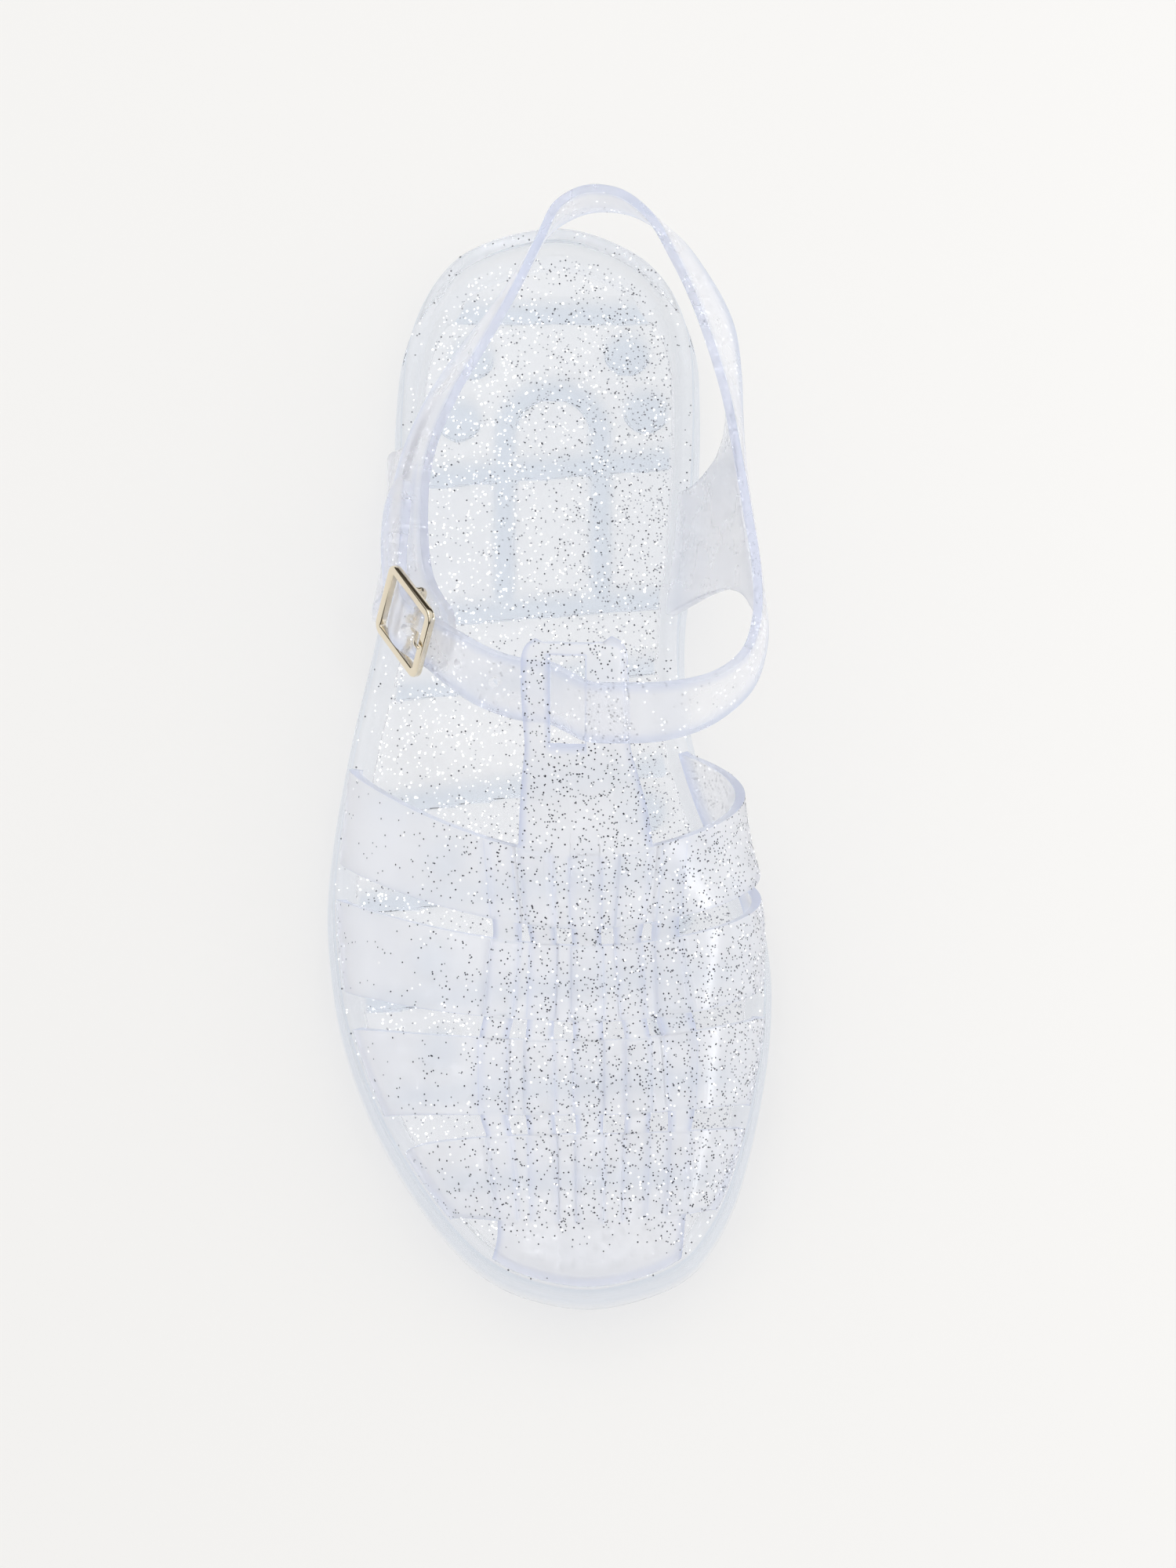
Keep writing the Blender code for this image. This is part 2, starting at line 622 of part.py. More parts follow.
def section_row(edge):
    """Points of one section at the columns: lateral side, strip sides with a step beside each, medial side."""
    curve = section(edge)
    run = np.concatenate([[0.0], np.cumsum(np.linalg.norm(np.diff(curve, axis=0), axis=1))])
    first, last = int(np.argmin(curve[:, 0])), int(np.argmax(curve[:, 0]))
    strips = np.array(STRIPS)
    sides = smooth(strips[:, 0], strips[:, 1:], np.array([edge]))[0]
    stops = np.interp(sides, curve[first : last + 1, 0], run[first : last + 1])
    middle = []
    for k in range(0, len(stops), 2):
        middle += [stops[k] - STEP, stops[k], stops[k + 1], stops[k + 1] + STEP]
    lateral = np.linspace(0.0, middle[0], SIDE_COLUMNS + 1)[:-1]
    medial = np.linspace(middle[-1], run[-1], SIDE_COLUMNS + 1)[1:]
    spots = np.concatenate([lateral, middle, medial])
    return np.column_stack([np.interp(spots, run, curve[:, k]) for k in range(3)])


def build_upper(home, look):
    """The cage: band rows, T-strap rows above them and toe-cap rows below them, as one wall with its gaps left out."""
    strip_columns = [(SIDE_COLUMNS + 4 * k + 1, SIDE_COLUMNS + 4 * k + 2) for k in range(5)]
    edges, raised, sunk, band_of = [], [], [], []
    for band in range(4):
        rear, front = 2.0 * band, 2.0 * band + 1.0
        for share in BAND_ROWS:
            edges.append(rear + share * (front - rear))
            crossing = 0.0 < share < 1.0
            raised.append(OVER[band] if crossing else ())
            sunk.append(tuple(k for k in range(5) if k not in OVER[band]) if crossing else ())
            band_of.append(band)
    bands = np.array([section_row(edge) for edge in edges])
    directions = normals(bands)
    if directions[2, SIDE_COLUMNS + 8, 2] < 0:
        directions = -directions
    level_out(directions[:, 0])
    level_out(directions[:, -1])
    rows, columns = bands.shape[:2]
    out = np.full((rows, columns), WALL / 2)
    back = np.full((rows, columns), WALL / 2)
    for r in range(rows):
        for k in raised[r]:
            out[r, list(strip_columns[k])] += RELIEF
        for k in sunk[r]:
            back[r, list(strip_columns[k])] += RELIEF
    cells = np.zeros((rows - 1, columns - 1), bool)
    for r in range(rows - 1):
        if band_of[r] == band_of[r + 1]:
            cells[r] = True
        else:
            for left, right in strip_columns:
                cells[r, left:right] = True

    t_left, t_right = strip_columns[1][0], strip_columns[3][1]
    width = t_right - t_left + 1
    root = bands[0, t_left : t_right + 1]
    table = np.array(T_STRAP)
    t_rows = []
    for t, z, left, right in table[1:][::-1]:
        share = np.clip((table[0, 0] - t) / (table[0, 0] - table[SLOT_ROWS[0], 0]), 0.0, 1.0)
        slot = np.linspace(SLOT_LEFT, SLOT_RIGHT, 5)
        flank = np.linspace(SLOT_RIGHT, right, width - 5)[1:]
        x = np.concatenate([[left], slot, flank])
        x = root[:, 0] + (x - root[:, 0]) * share
        sag = (root[:, 1:] - table[0, :2]) * (1.0 - T_FLATTEN * share)
        t_rows.append(np.column_stack([x, t + sag[:, 0], z + sag[:, 1]]))
    tongue = np.array(t_rows)
    tongue_n = normals(np.vstack([tongue, root[None]]))[:-1]
    if tongue_n[4, 4, 2] < 0:
        tongue_n = -tongue_n

    cap_left, cap_right = strip_columns[0][0], strip_columns[4][1]
    brow = bands[-1, cap_left : cap_right + 1]
    share = (brow[:, 0] - brow[0, 0]) / (brow[-1, 0] - brow[0, 0])
    base_x = CAP_BASE[0] + (CAP_BASE[1] - CAP_BASE[0]) * share
    toe = inset(outline(400), BASE_INSET)
    toe = toe[toe[:, 1] > CAP_FROM_T]
    order = np.argsort(toe[:, 0])
    base_t = np.interp(base_x, toe[order, 0], toe[order, 1])
    base = np.column_stack([base_x, base_t, level(RIM, base_t) + GAP])
    heading = brow - bands[-2, cap_left : cap_right + 1]
    heading /= np.linalg.norm(heading, axis=1)[:, None]
    drop = np.linalg.norm(base - brow, axis=1)[:, None]
    cap = []
    for f in CAP_ROWS:
        a, d = brow, base
        b = a + heading * drop * CAP_LEAD
        c = d + np.array(CAP_FOOT) * drop
        cap.append(a * (1 - f) ** 3 + 3 * b * f * (1 - f) ** 2 + 3 * c * f * f * (1 - f) + d * f ** 3)
    cap = np.array(cap)
    cap_n = normals(np.vstack([brow[None], cap]))[1:]
    if cap_n[0, 4, 2] < 0:
        cap_n = -cap_n
    level_out(cap_n[-1])

    above, below = len(tongue), len(cap)
    total = above + rows + below
    grid = np.zeros((total, columns, 3))
    face_n = np.zeros((total, columns, 3))
    grid[above : above + rows] = bands
    face_n[above : above + rows] = directions
    grid[:above, t_left : t_right + 1] = tongue
    face_n[:above, t_left : t_right + 1] = tongue_n
    grid[above + rows :, cap_left : cap_right + 1] = cap
    face_n[above + rows :, cap_left : cap_right + 1] = cap_n
    skin_out = np.full((total, columns), WALL / 2)
    skin_back = np.full((total, columns), WALL / 2)
    skin_out[above : above + rows] = out
    skin_back[above : above + rows] = back
    kept = np.zeros((total - 1, columns - 1), bool)
    kept[above : above + rows - 1] = cells
    kept[:above, t_left:t_right] = True
    first = above - SLOT_ROWS[1]
    last = above - SLOT_ROWS[0]
    kept[first:last, t_left + 1 : t_left + 5] = False
    kept[above + rows - 1 :, cap_left:cap_right] = True
    upper = thick_sheet("upper", grid, face_n, skin_out, skin_back, kept, home, look)
    shade(upper)
    return upper


def strap_edges(at):
    """Top and low edge of the ribbon at row numbers of STRAP."""
    table = np.array([row[1:] for row in STRAP])
    middle = (table[:, :3] + table[:, 3:]) / 2
    run = np.concatenate([[0.0], np.cumsum(np.linalg.norm(np.diff(middle, axis=0), axis=1))])
    place = np.interp(at, np.arange(len(run)), run)
    both = smooth(run, table, place)
    return both[:, :3], both[:, 3:]


def ribbon_grid(at, columns):
    """Points and normals of the ribbon, a row for each place and the columns from its top edge to its low edge."""
    top, low = strap_edges(at)
    f = np.linspace(0.0, 1.0, columns)[None, :, None]
    grid = top[:, None] * (1 - f) + low[:, None] * f
    return grid, normals(grid)


def build_strap_ribbon(home, look):
    """The ribbon: a row for each step, both its ends rounded."""
    count = (len(STRAP) - 1) * STRAP_STEPS + 1
    at = np.linspace(0.0, len(STRAP) - 1.0, count)
    grid, directions = ribbon_grid(at, STRAP_COLUMNS + 1)
    half = np.full(grid.shape[:2], STRAP_THICK / 2)
    cells = np.ones((count - 1, STRAP_COLUMNS), bool)
    middle = grid.mean(axis=1)
    for k, share in enumerate(END_ROUND):
        for row in (k, count - 1 - k):
            grid[row] = middle[row] + (grid[row] - middle[row]) * share
    return thick_sheet("ankle_strap", grid, directions, half, half, cells, home, look)


def strap_line(t, side):
    """The line that a post's head follows, at stations of the ribbon's lateral (-1) or medial (1) side."""
    span = MEDIAL_SPAN if side > 0 else LATERAL_SPAN
    top, low = strap_edges(np.linspace(span[0], span[1], 120))
    line = top * (1.0 - POST_HEAD_SHARE) + low * POST_HEAD_SHARE
    order = np.argsort(line[:, 1])
    return np.column_stack([np.interp(t, line[order, 1], line[order, k]) for k in (0, 1, 2)])


def build_post(name, table, side, foot_inset, foot_height, home):
    """A post as a wall between its foot on the sole and the ribbon, flared at both ends."""
    table = np.array(table)
    rows = []
    rise = np.linspace(0.0, 1.0, POST_ROWS)
    rear = smooth(table[:, 0], table[:, 1], rise)
    front = smooth(table[:, 0], table[:, 2], rise)
    lean = smooth(table[:, 0], table[:, 3], rise)
    for k in range(len(rise)):
        t = np.linspace(rear[k], front[k], POST_COLUMNS + 1)
        head = strap_line(t, side)
        foot_x = side_x(t, side, foot_inset)
        foot_z = foot_height(t)
        x = foot_x + (head[:, 0] - foot_x) * lean[k]
        z = foot_z + (head[:, 2] - foot_z) * rise[k]
        rows.append(np.column_stack([x, t, z]))
    grid = np.array(rows)
    directions = normals(grid)
    level_out(directions[0])
    thick = POST_FOOT_THICK + (POST_HEAD_THICK - POST_FOOT_THICK) * rise
    half = np.repeat(thick[:, None] / 2, POST_COLUMNS + 1, axis=1)
    cells = np.ones((len(rise) - 1, POST_COLUMNS), bool)
    return thick_sheet(name, grid, directions, half, half, cells, home, None)


def buckle_axes():
    """The buckle's axes in (x, t, z): along, down and out."""
    along = Vector(ALONG).normalized()
    down = (Vector(DOWN) - along * along.dot(Vector(DOWN))).normalized()
    out = along.cross(down)
    return along, down, out


def buckle_point(along, down, out):
    """A point in the buckle's axes, as (x, t, z)."""
    a, d, n = buckle_axes()
    return Vector(TAB_POINT) + a * along + d * down + n * out


def buckle_matrix():
    """Places a mesh made in metres with X along the strap, Y up across it and Z out."""
    a, d, n = buckle_axes()
    flip = Vector((1.0, -1.0, 1.0))
    columns = [a * flip, -d * flip, n * flip]
    matrix = Matrix.Identity(4)
    for k, axis in enumerate(columns):
        for i in range(3):
            matrix[i][k] = axis[i]
    origin = world([tuple(Vector(TAB_POINT))])[0]
    matrix.translation = Vector(origin)
    return matrix


def capsule_cutter(name, centre, axis_along, axis_out, length, width, depth, home):
    """A long-hole cutter about a point of the strap, in (x, t, z)."""
    centre, axis_along, axis_out = Vector(centre), Vector(axis_along).normalized(), Vector(axis_out).normalized()
    side = axis_along.cross(axis_out).normalized()
    half = max(length - width, 0.0) / 2
    ring = []
    for k in range(12):
        angle = 2 * math.pi * (k + 0.5) / 12
        shift = half if math.cos(angle) > 0 else -half
        ring.append(axis_along * (width / 2 * math.cos(angle) + shift) + side * (width / 2 * math.sin(angle)))
    points = [tuple(centre + p + axis_out * s * depth) for s in (-1, 1) for p in ring]
    n = len(ring)
    faces = [tuple(range(n)), tuple(range(2 * n - 1, n - 1, -1))]
    faces += [(i, (i + 1) % n, n + (i + 1) % n, n + i) for i in range(n)]
    return mesh_object(name, points, faces, home, None)


def build_ankle_strap(home, cutters, look):
    """The ribbon joined to its two posts, with its holes cut."""
    strap = build_strap_ribbon(home, look)
    on_rim = lambda t: level(RIM, t) + GAP
    on_wall = lambda t: level(UNDER, t) + LATERAL_FOOT_RISE
    medial = build_post("medial_post", MEDIAL_POST, 1, MEDIAL_FOOT_INSET, on_rim, cutters)
    lateral = build_post("lateral_post", LATERAL_POST, -1, LATERAL_FOOT_INSET, on_wall, cutters)
    boolean(strap, medial, "UNION")
    boolean(strap, lateral, "UNION")
    for k, (row, share) in enumerate(STRAP_HOLES):
        at = row + share
        grid, directions = ribbon_grid(np.array([at - 0.05, at, at + 0.05]), 3)
        heading = grid[2, 1] - grid[0, 1]
        hole = capsule_cutter(
            f"hole_{k}", grid[1, 1], heading, directions[1, 1], HOLE_DIAMETER, HOLE_DIAMETER, CUT_DEPTH, cutters
        )
        boolean(strap, hole, "DIFFERENCE")
    a, _, n = buckle_axes()
    start, end = PRONG_SLOT
    centre = buckle_point((start + end) / 2, 0.0, PRONG_SLOT_LIFT)
    slot = capsule_cutter("prong_slot", centre, a, n, end - start, HOLE_DIAMETER, CUT_DEPTH + GAP, cutters)
    boolean(strap, slot, "DIFFERENCE")
    shade(strap)
    return strap


def tube(name, path, radius, home):
    """A round wire along a path in the buckle's axes in metres, capped, as a mesh."""
    curve = bpy.data.curves.new(name, "CURVE")
    curve.dimensions = "3D"
    curve.bevel_depth = radius * MM
    curve.bevel_resolution = 2
    curve.use_fill_caps = True
    spline = curve.splines.new("POLY")
    spline.points.add(len(path) - 1)
    for point, place in zip(spline.points, path):
        point.co = (place[0] * MM, place[1] * MM, place[2] * MM, 1.0)
    line = bpy.data.objects.new(name + "_line", curve)
    home.objects.link(line)
    line.matrix_world = buckle_matrix()
    bpy.context.view_layer.update()
    mesh = bpy.data.meshes.new_from_object(line.evaluated_get(bpy.context.evaluated_depsgraph_get()))
    bm = bmesh.new()
    bm.from_mesh(mesh)
    bmesh.ops.remove_doubles(bm, verts=bm.verts, dist=1e-6)
    bmesh.ops.recalc_face_normals(bm, faces=bm.faces)
    bm.to_mesh(mesh)
    bm.free()
    obj = bpy.data.objects.new(name, mesh)
    home.objects.link(obj)
    obj.matrix_world = line.matrix_world.copy()
    bpy.data.objects.remove(line, do_unlink=True)
    return obj


def slab(name, length, height, thick, corner, lift, home):
    """A plate in the buckle's axes with its four corners rounded."""
    mesh = bpy.data.meshes.new(name)
    bm = bmesh.new()
    bmesh.ops.create_cube(bm, size=1.0)
    bmesh.ops.scale(bm, vec=(length * MM, height * MM, thick * MM), verts=bm.verts)
    bmesh.ops.translate(bm, vec=(0.0, 0.0, lift * MM), verts=bm.verts)
    upright = [e for e in bm.edges if abs(e.verts[0].co.z - e.verts[1].co.z) > thick * MM * 0.5]
    bmesh.ops.bevel(bm, geom=upright, offset=corner * MM, segments=3, profile=0.5, affect="EDGES")
    bm.to_mesh(mesh)
    bm.free()
    obj = bpy.data.objects.new(name, mesh)
    home.objects.link(obj)
    obj.matrix_world = buckle_matrix()
    return obj


def build_buckle(home, cutters, look):
    """The square frame with its centre bar, and the prong hooked over the bar."""
    frame = slab("buckle_frame", FRAME_LENGTH, FRAME_HEIGHT, FRAME_THICK, FRAME_CORNER, FRAME_LIFT, home)
    frame.data.materials.append(look)
    inner_length, inner_height = FRAME_LENGTH - 2 * FRAME_BAR, FRAME_HEIGHT - 2 * FRAME_BAR
    window = slab("buckle_window", inner_length, inner_height, FRAME_THICK * 3, WINDOW_CORNER, FRAME_LIFT, cutters)
    boolean(frame, window, "DIFFERENCE")
    edge = frame.modifiers.new("edge", "BEVEL")
    edge.width = FRAME_EDGE * MM
    edge.segments = 2
    edge.limit_method = "ANGLE"
    edge.angle_limit = math.radians(40.0)
    reach, high = CENTRE_BAR_REACH, FRAME_LIFT
    path = ((0.0, -reach, high), (0.0, -reach, CENTRE_BAR_LIFT), (0.0, reach, CENTRE_BAR_LIFT), (0.0, reach, high))
    bar = tube("centre_bar", path, CENTRE_BAR_RADIUS, cutters)
    boolean(frame, bar, "UNION")
    shade(frame)
    points = np.array(PRONG)
    run = np.concatenate([[0.0], np.cumsum(np.linalg.norm(np.diff(points, axis=0), axis=1))])
    fine = smooth(run, points, np.linspace(0.0, run[-1], 18))
    prong = tube("buckle_prong", [(p[0], 0.0, p[1]) for p in fine], PRONG_RADIUS, home)
    prong.data.materials.append(look)
    shade(prong)
    return frame, prong


def main():
    """Builds the sandal."""
    clear_scene()
    home = collection("jelly_sandal")
    cutters = collection("cutters")
    pvc = material("clear_pvc", PVC_COLOUR, 0.12, transmission=0.8)
    metal = material("pale_gold", METAL_COLOUR, 0.2, metallic=1.0)
    build_outsole(home, cutters, pvc)
    build_upper(home, pvc)
    build_ankle_strap(home, cutters, pvc)
    build_buckle(home, cutters, metal)


main()
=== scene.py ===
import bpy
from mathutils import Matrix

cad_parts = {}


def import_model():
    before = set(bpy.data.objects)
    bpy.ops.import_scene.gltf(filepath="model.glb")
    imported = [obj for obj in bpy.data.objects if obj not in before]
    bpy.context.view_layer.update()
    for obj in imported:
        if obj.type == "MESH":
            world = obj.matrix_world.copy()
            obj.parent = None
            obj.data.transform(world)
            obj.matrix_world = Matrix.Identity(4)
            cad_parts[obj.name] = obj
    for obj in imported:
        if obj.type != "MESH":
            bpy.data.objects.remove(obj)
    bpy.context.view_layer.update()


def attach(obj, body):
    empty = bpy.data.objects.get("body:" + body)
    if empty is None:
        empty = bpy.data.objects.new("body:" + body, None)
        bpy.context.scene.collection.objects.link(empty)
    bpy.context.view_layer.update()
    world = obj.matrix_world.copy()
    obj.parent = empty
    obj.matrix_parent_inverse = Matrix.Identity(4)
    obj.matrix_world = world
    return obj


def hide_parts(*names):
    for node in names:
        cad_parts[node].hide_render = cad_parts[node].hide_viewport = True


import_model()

# %% [markdown]
# A jelly sandal is one material in three thicknesses: soft clear PVC with silver flakes stirred in
# before it is injected. What the eye reads is therefore not colour but thickness: the wall's edges,
# the ribs under the footbed and the fold of a band over the foot are where the light has the
# longest way to go. So this lesson builds real walls with rounded edges and lets one material,
# with a little absorption, do the rest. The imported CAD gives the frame. Its tables are repeated
# here in millimetres, because a finer surface needs the same stations, not the same triangles.

# %% Tools and units
import math

import bmesh
import bpy
import numpy as np
from mathutils import Vector

MM = 0.001
GAP = 0.3
# Edges past this angle stay sharp, and a sheet's edge past its own is bevelled, in degrees
SHARP_SOLE, SHARP_CAGE, SHARP_SHEET, SHARP_STRAP, SHARP_METAL = 50.0, 70.0, 60.0, 50.0, 60.0
BEVEL_SEGMENTS = 3

# %% [markdown]
# A station t is a distance in millimetres from the back of the heel towards the toe. The outline
# is a closed curve through a few stations with a lateral and a medial half-width, and the heights
# of the underside, the footbed and the rim are eased from station to station.

# %% Tables of the sole
HEEL_TIP = (2.0, -1.2)
TOE_TIP = (8.8, 258.4)
MIDDLE_T = (HEEL_TIP[1] + TOE_TIP[1]) / 2
# (t, lateral x, medial x)
OUTLINE = (
    (4.5, -19.6, 19.3),
    (13.0, -28.0, 28.3),
    (27.5, -34.1, 34.0),
    (44.0, -36.0, 35.0),
    (60.0, -36.1, 34.6),
    (80.0, -36.7, 33.2),
    (99.3, -39.9, 31.2),
    (113.8, -42.9, 31.4),
    (126.0, -45.4, 33.0),
    (144.7, -48.6, 38.8),
    (163.4, -50.4, 47.4),
    (178.7, -49.6, 50.2),
    (195.0, -46.8, 50.0),
    (215.4, -39.5, 46.8),
    (233.8, -29.2, 41.8),
    (243.0, -22.4, 37.4),
    (250.5, -14.8, 31.7),
    (255.3, -6.5, 23.2),
)
# (t, underside z, footbed z, rim z)
LEVELS = (
    (-1.2, 1.2, 15.6, 19.0),
    (12.0, 0.0, 14.9, 18.6),
    (40.0, 0.0, 14.4, 18.2),
    (80.0, 0.0, 14.2, 17.8),
    (100.0, 1.6, 13.8, 17.4),
    (122.0, 2.6, 13.0, 16.8),
    (146.0, 0.6, 11.9, 15.8),
    (160.0, 0.0, 11.4, 15.2),
    (205.0, 0.0, 11.2, 15.0),
    (225.0, 1.0, 11.8, 15.4),
    (243.0, 3.0, 13.3, 16.7),
    (258.4, 6.0, 15.4, 18.6),
)
UNDER, BED, RIM = 1, 2, 3
# From the hollow's ceiling out under the edge and round to the footbed: (inset, level column, rise)
SIDE_PROFILE = (
    (6.4, UNDER, 5.2),
    (5.6, UNDER, 0.0),
    (1.3, UNDER, 0.0),
    (0.0, UNDER, 1.2),
    (0.0, UNDER, 7.6),
    (1.2, UNDER, 8.2),
    (1.5, RIM, -1.1),
    (2.3, RIM, 0.0),
    (4.6, RIM, 0.0),
    (5.6, BED, 0.5),
    (7.0, BED, 0.0),
)
HOLLOW_DEPTH = 5.2
RIB_RISE = 0.3
BED_DIP = 0.9
ARCH_LIFT = 1.6
ARCH_START_X = 5.0
ARCH_WIDTH = 30.0
ARCH_STATION = 118.0
ARCH_SPREAD = 16.0
OUTLINE_POINTS = 400
# Cross ribs in the hollow: (t at the lateral end, t at the medial end, width)
CROSS_RIBS = (
    (16.0, 16.0, 5.0),
    (58.0, 52.0, 5.0),
    (93.0, 87.0, 5.0),
    (112.0, 104.0, 4.0),
    (140.0, 128.0, 4.5),
    (163.0, 152.0, 4.5),
    (186.0, 177.0, 4.5),
    (208.0, 202.0, 4.5),
    (228.0, 226.0, 4.5),
)
# Round pegs in the hollow: (x, t, diameter)
PEGS = (
    (18.0, 26.5, 10.0),
    (22.4, 41.0, 10.0),
    (-18.5, 27.5, 10.0),
    (-21.4, 43.0, 10.0),
    (-24.0, 151.0, 9.0),
    (22.0, 140.0, 9.0),
    (-27.0, 175.0, 9.0),
    (28.0, 165.0, 9.0),
    (-25.0, 197.0, 9.0),
    (28.0, 190.0, 9.0),
)
HORSESHOE_CENTRE = (0.6, 46.5)
HORSESHOE_RADIUS = 11.2
HORSESHOE_WIDTH = 4.6
HORSESHOE_END = 88.0


# %% Curves, rings and heights
def smooth(knots, values, at):
    """A cubic through the knots; the slope at a knot is the mean slope of its two sides."""
    knots = np.asarray(knots, float)
    values = np.asarray(values, float)
    at = np.clip(np.asarray(at, float), knots[0], knots[-1])
    slopes = np.gradient(values, knots, axis=0)
    k = np.clip(np.searchsorted(knots, at, side="right") - 1, 0, len(knots) - 2)
    shape = (-1,) + (1,) * (values.ndim - 1) if values.ndim > 1 else at.shape
    span = (knots[k + 1] - knots[k]).reshape(shape)
    f = ((at - knots[k]) / (knots[k + 1] - knots[k])).reshape(shape)
    start = values[k] * (1 + 2 * f) * (1 - f) ** 2 + values[k + 1] * f * f * (3 - 2 * f)
    return start + span * (slopes[k] * f * (1 - f) ** 2 - slopes[k + 1] * f * f * (1 - f))


def lengths(points):
    """Running length along a row of points, from 0."""
    return np.concatenate([[0.0], np.cumsum(np.linalg.norm(np.diff(points, axis=0), axis=1))])


def at_lengths(points, run, spots):
    """The points at some running lengths, on straight lines between the known ones."""
    return np.column_stack([np.interp(spots, run, column) for column in points.T])


def read_off(points, at, key, value):
    """A row of points read as a graph: one column's value at places of another, in its order."""
    order = np.argsort(points[:, key])
    return np.interp(at, points[order, key], points[order, value])


def unit(vectors):
    """Vectors scaled to length 1."""
    return vectors / np.maximum(np.linalg.norm(vectors, axis=-1, keepdims=True), 1e-9)


def world(points):
    """Millimetres (x, t, z) to scene metres: y is the middle station less t."""
    out = np.asarray(points, float) * MM
    out[..., 1] = (MIDDLE_T - np.asarray(points, float)[..., 1]) * MM
    return out


def level(column, t):
    """A height at a station, eased from row to row by 3f^2 - 2f^3."""
    table = np.array(LEVELS)
    t = np.clip(np.asarray(t, float), table[0, 0], table[-1, 0])
    k = np.clip(np.searchsorted(table[:, 0], t, side="right") - 1, 0, len(table) - 2)
    f = (t - table[k, 0]) / (table[k + 1, 0] - table[k, 0])
    return table[k, column] + (table[k + 1, column] - table[k, column]) * f * f * (3 - 2 * f)


def outline(points):
    """The outline as a closed ring of (x, t), evenly spaced along the lateral and then the medial side."""
    rows = np.array(OUTLINE)
    lateral = np.vstack([HEEL_TIP, rows[:, [1, 0]], TOE_TIP])
    medial = np.vstack([HEEL_TIP, rows[:, [2, 0]], TOE_TIP])
    loop = np.vstack([lateral, medial[-2:0:-1]])
    wrapped = np.vstack([loop[-2:], loop, loop[:3]])
    steps = np.sqrt(np.linalg.norm(np.diff(wrapped, axis=0), axis=1))
    knots = np.concatenate([[0.0], np.cumsum(steps)])
    heel, toe, back = knots[2], knots[1 + len(lateral)], knots[2 + len(loop)]
    sides = []
    for first, last in ((heel, toe), (toe, back)):
        fine = smooth(knots, wrapped, np.linspace(first, last, 1200))
        run = lengths(fine)
        sides.append(at_lengths(fine, run, np.linspace(0.0, run[-1], points // 2 + 1)[:-1]))
    return np.vstack(sides)


def inset(ring, distance):
    """A ring moved inwards along its own normals."""
    tangent = unit(np.roll(ring, -1, axis=0) - np.roll(ring, 1, axis=0))
    return ring + np.column_stack([tangent[:, 1], -tangent[:, 0]]) * distance


def side_x(t, side, distance):
    """x of the inset outline on its lateral (-1) or medial (1) side at a station."""
    ring = inset(outline(OUTLINE_POINTS), distance)
    half = OUTLINE_POINTS // 2
    return read_off(ring[: half + 1] if side < 0 else ring[half:][::-1], t, 1, 0)


def arch(x, t):
    """Extra lift of the underside on the medial side of the waist: a ramp in x times a bell in t."""
    share = np.clip((x - ARCH_START_X) / ARCH_WIDTH, 0.0, 1.0)
    return ARCH_LIFT * share * np.exp(-(((t - ARCH_STATION) / ARCH_SPREAD) ** 2))


print("the outline runs from", HEEL_TIP[1], "to", TOE_TIP[1], "mm")


# %% Meshes from arrays
def cell_corners(table):
    """The four corner values of every cell of a table, in order round the cell."""
    return np.stack([table[:-1, :-1], table[:-1, 1:], table[1:, 1:], table[1:, :-1]], axis=-1)


def grid_faces(rows, columns, around=False):
    """Quads of a grid as an array of indices; around joins the last column to the first."""
    last = columns if around else columns - 1
    r, c = np.meshgrid(np.arange(rows - 1), np.arange(last), indexing="ij")
    d = (c + 1) % columns
    here, below = r * columns, (r + 1) * columns
    return np.stack([here + c, here + d, below + d, below + c], axis=-1).reshape(-1, 4)


def new_object(name, data):
    """An object in the scene's collection."""
    obj = bpy.data.objects.new(name, data)
    bpy.context.scene.collection.objects.link(obj)
    return obj


def piece(name, points, faces, sharp):
    """A closed mesh object from scene points, with its faces turned outwards and shaded smooth."""
    mesh = bpy.data.meshes.new(name)
    faces = faces.tolist() if isinstance(faces, np.ndarray) else faces
    mesh.from_pydata(np.asarray(points, float).tolist(), [], faces)
    bm = bmesh.new()
    bm.from_mesh(mesh)
    bmesh.ops.recalc_face_normals(bm, faces=bm.faces)
    bm.to_mesh(mesh)
    bm.free()
    mesh.shade_smooth()
    mesh.set_sharp_from_angle(angle=math.radians(sharp))
    return new_object(name, mesh)


def mark_thick(obj, values):
    """Keeps on every vertex how much plastic lies behind it, from 0 to 1, for the material's tint."""
    layer = obj.data.attributes.new("thick", "FLOAT", "POINT")
    layer.data.foreach_set("value", np.asarray(values, np.float32))


def tangents(points, axis):
    """Headings along one axis: the unit steps before and after a point, weighted by each other's length."""
    points = np.moveaxis(points, axis, 0)
    step = np.diff(points, axis=0)
    long = np.maximum(np.linalg.norm(step, axis=2), 1e-6)[..., None]
    heading = step / long
    middle = heading[:-1] * long[1:] + heading[1:] * long[:-1]
    return np.moveaxis(np.concatenate([heading[:1], middle, heading[-1:]]), 0, axis)


def normals(points):
    """Unit normals of a grid: the cross product of its directions across and along."""
    return unit(np.cross(tangents(points, 1), tangents(points, 0)))


def level_out(directions):
    """Directions at a foot turned level, so that both skins end at one height."""
    directions[..., 2] = 0.0
    directions[:] = unit(directions)


# %% [markdown]
# The sole is moulded with its underside hollowed out, which saves material and lets it bend. Ribs,
# pegs and a horseshoe keep the footbed up, and because the PVC is clear they show from above as
# darker shapes. A boolean for each rib would do, but the underside is really one height field:
# the ceiling is lowered wherever a rib, a peg or the horseshoe stands. One grid then holds it
# all, with the slightly sloped sides that let a moulding leave its tool.

# %% The sole
SOLE_RING = 480
BED_COLUMNS = 72
CORNER = 0.7
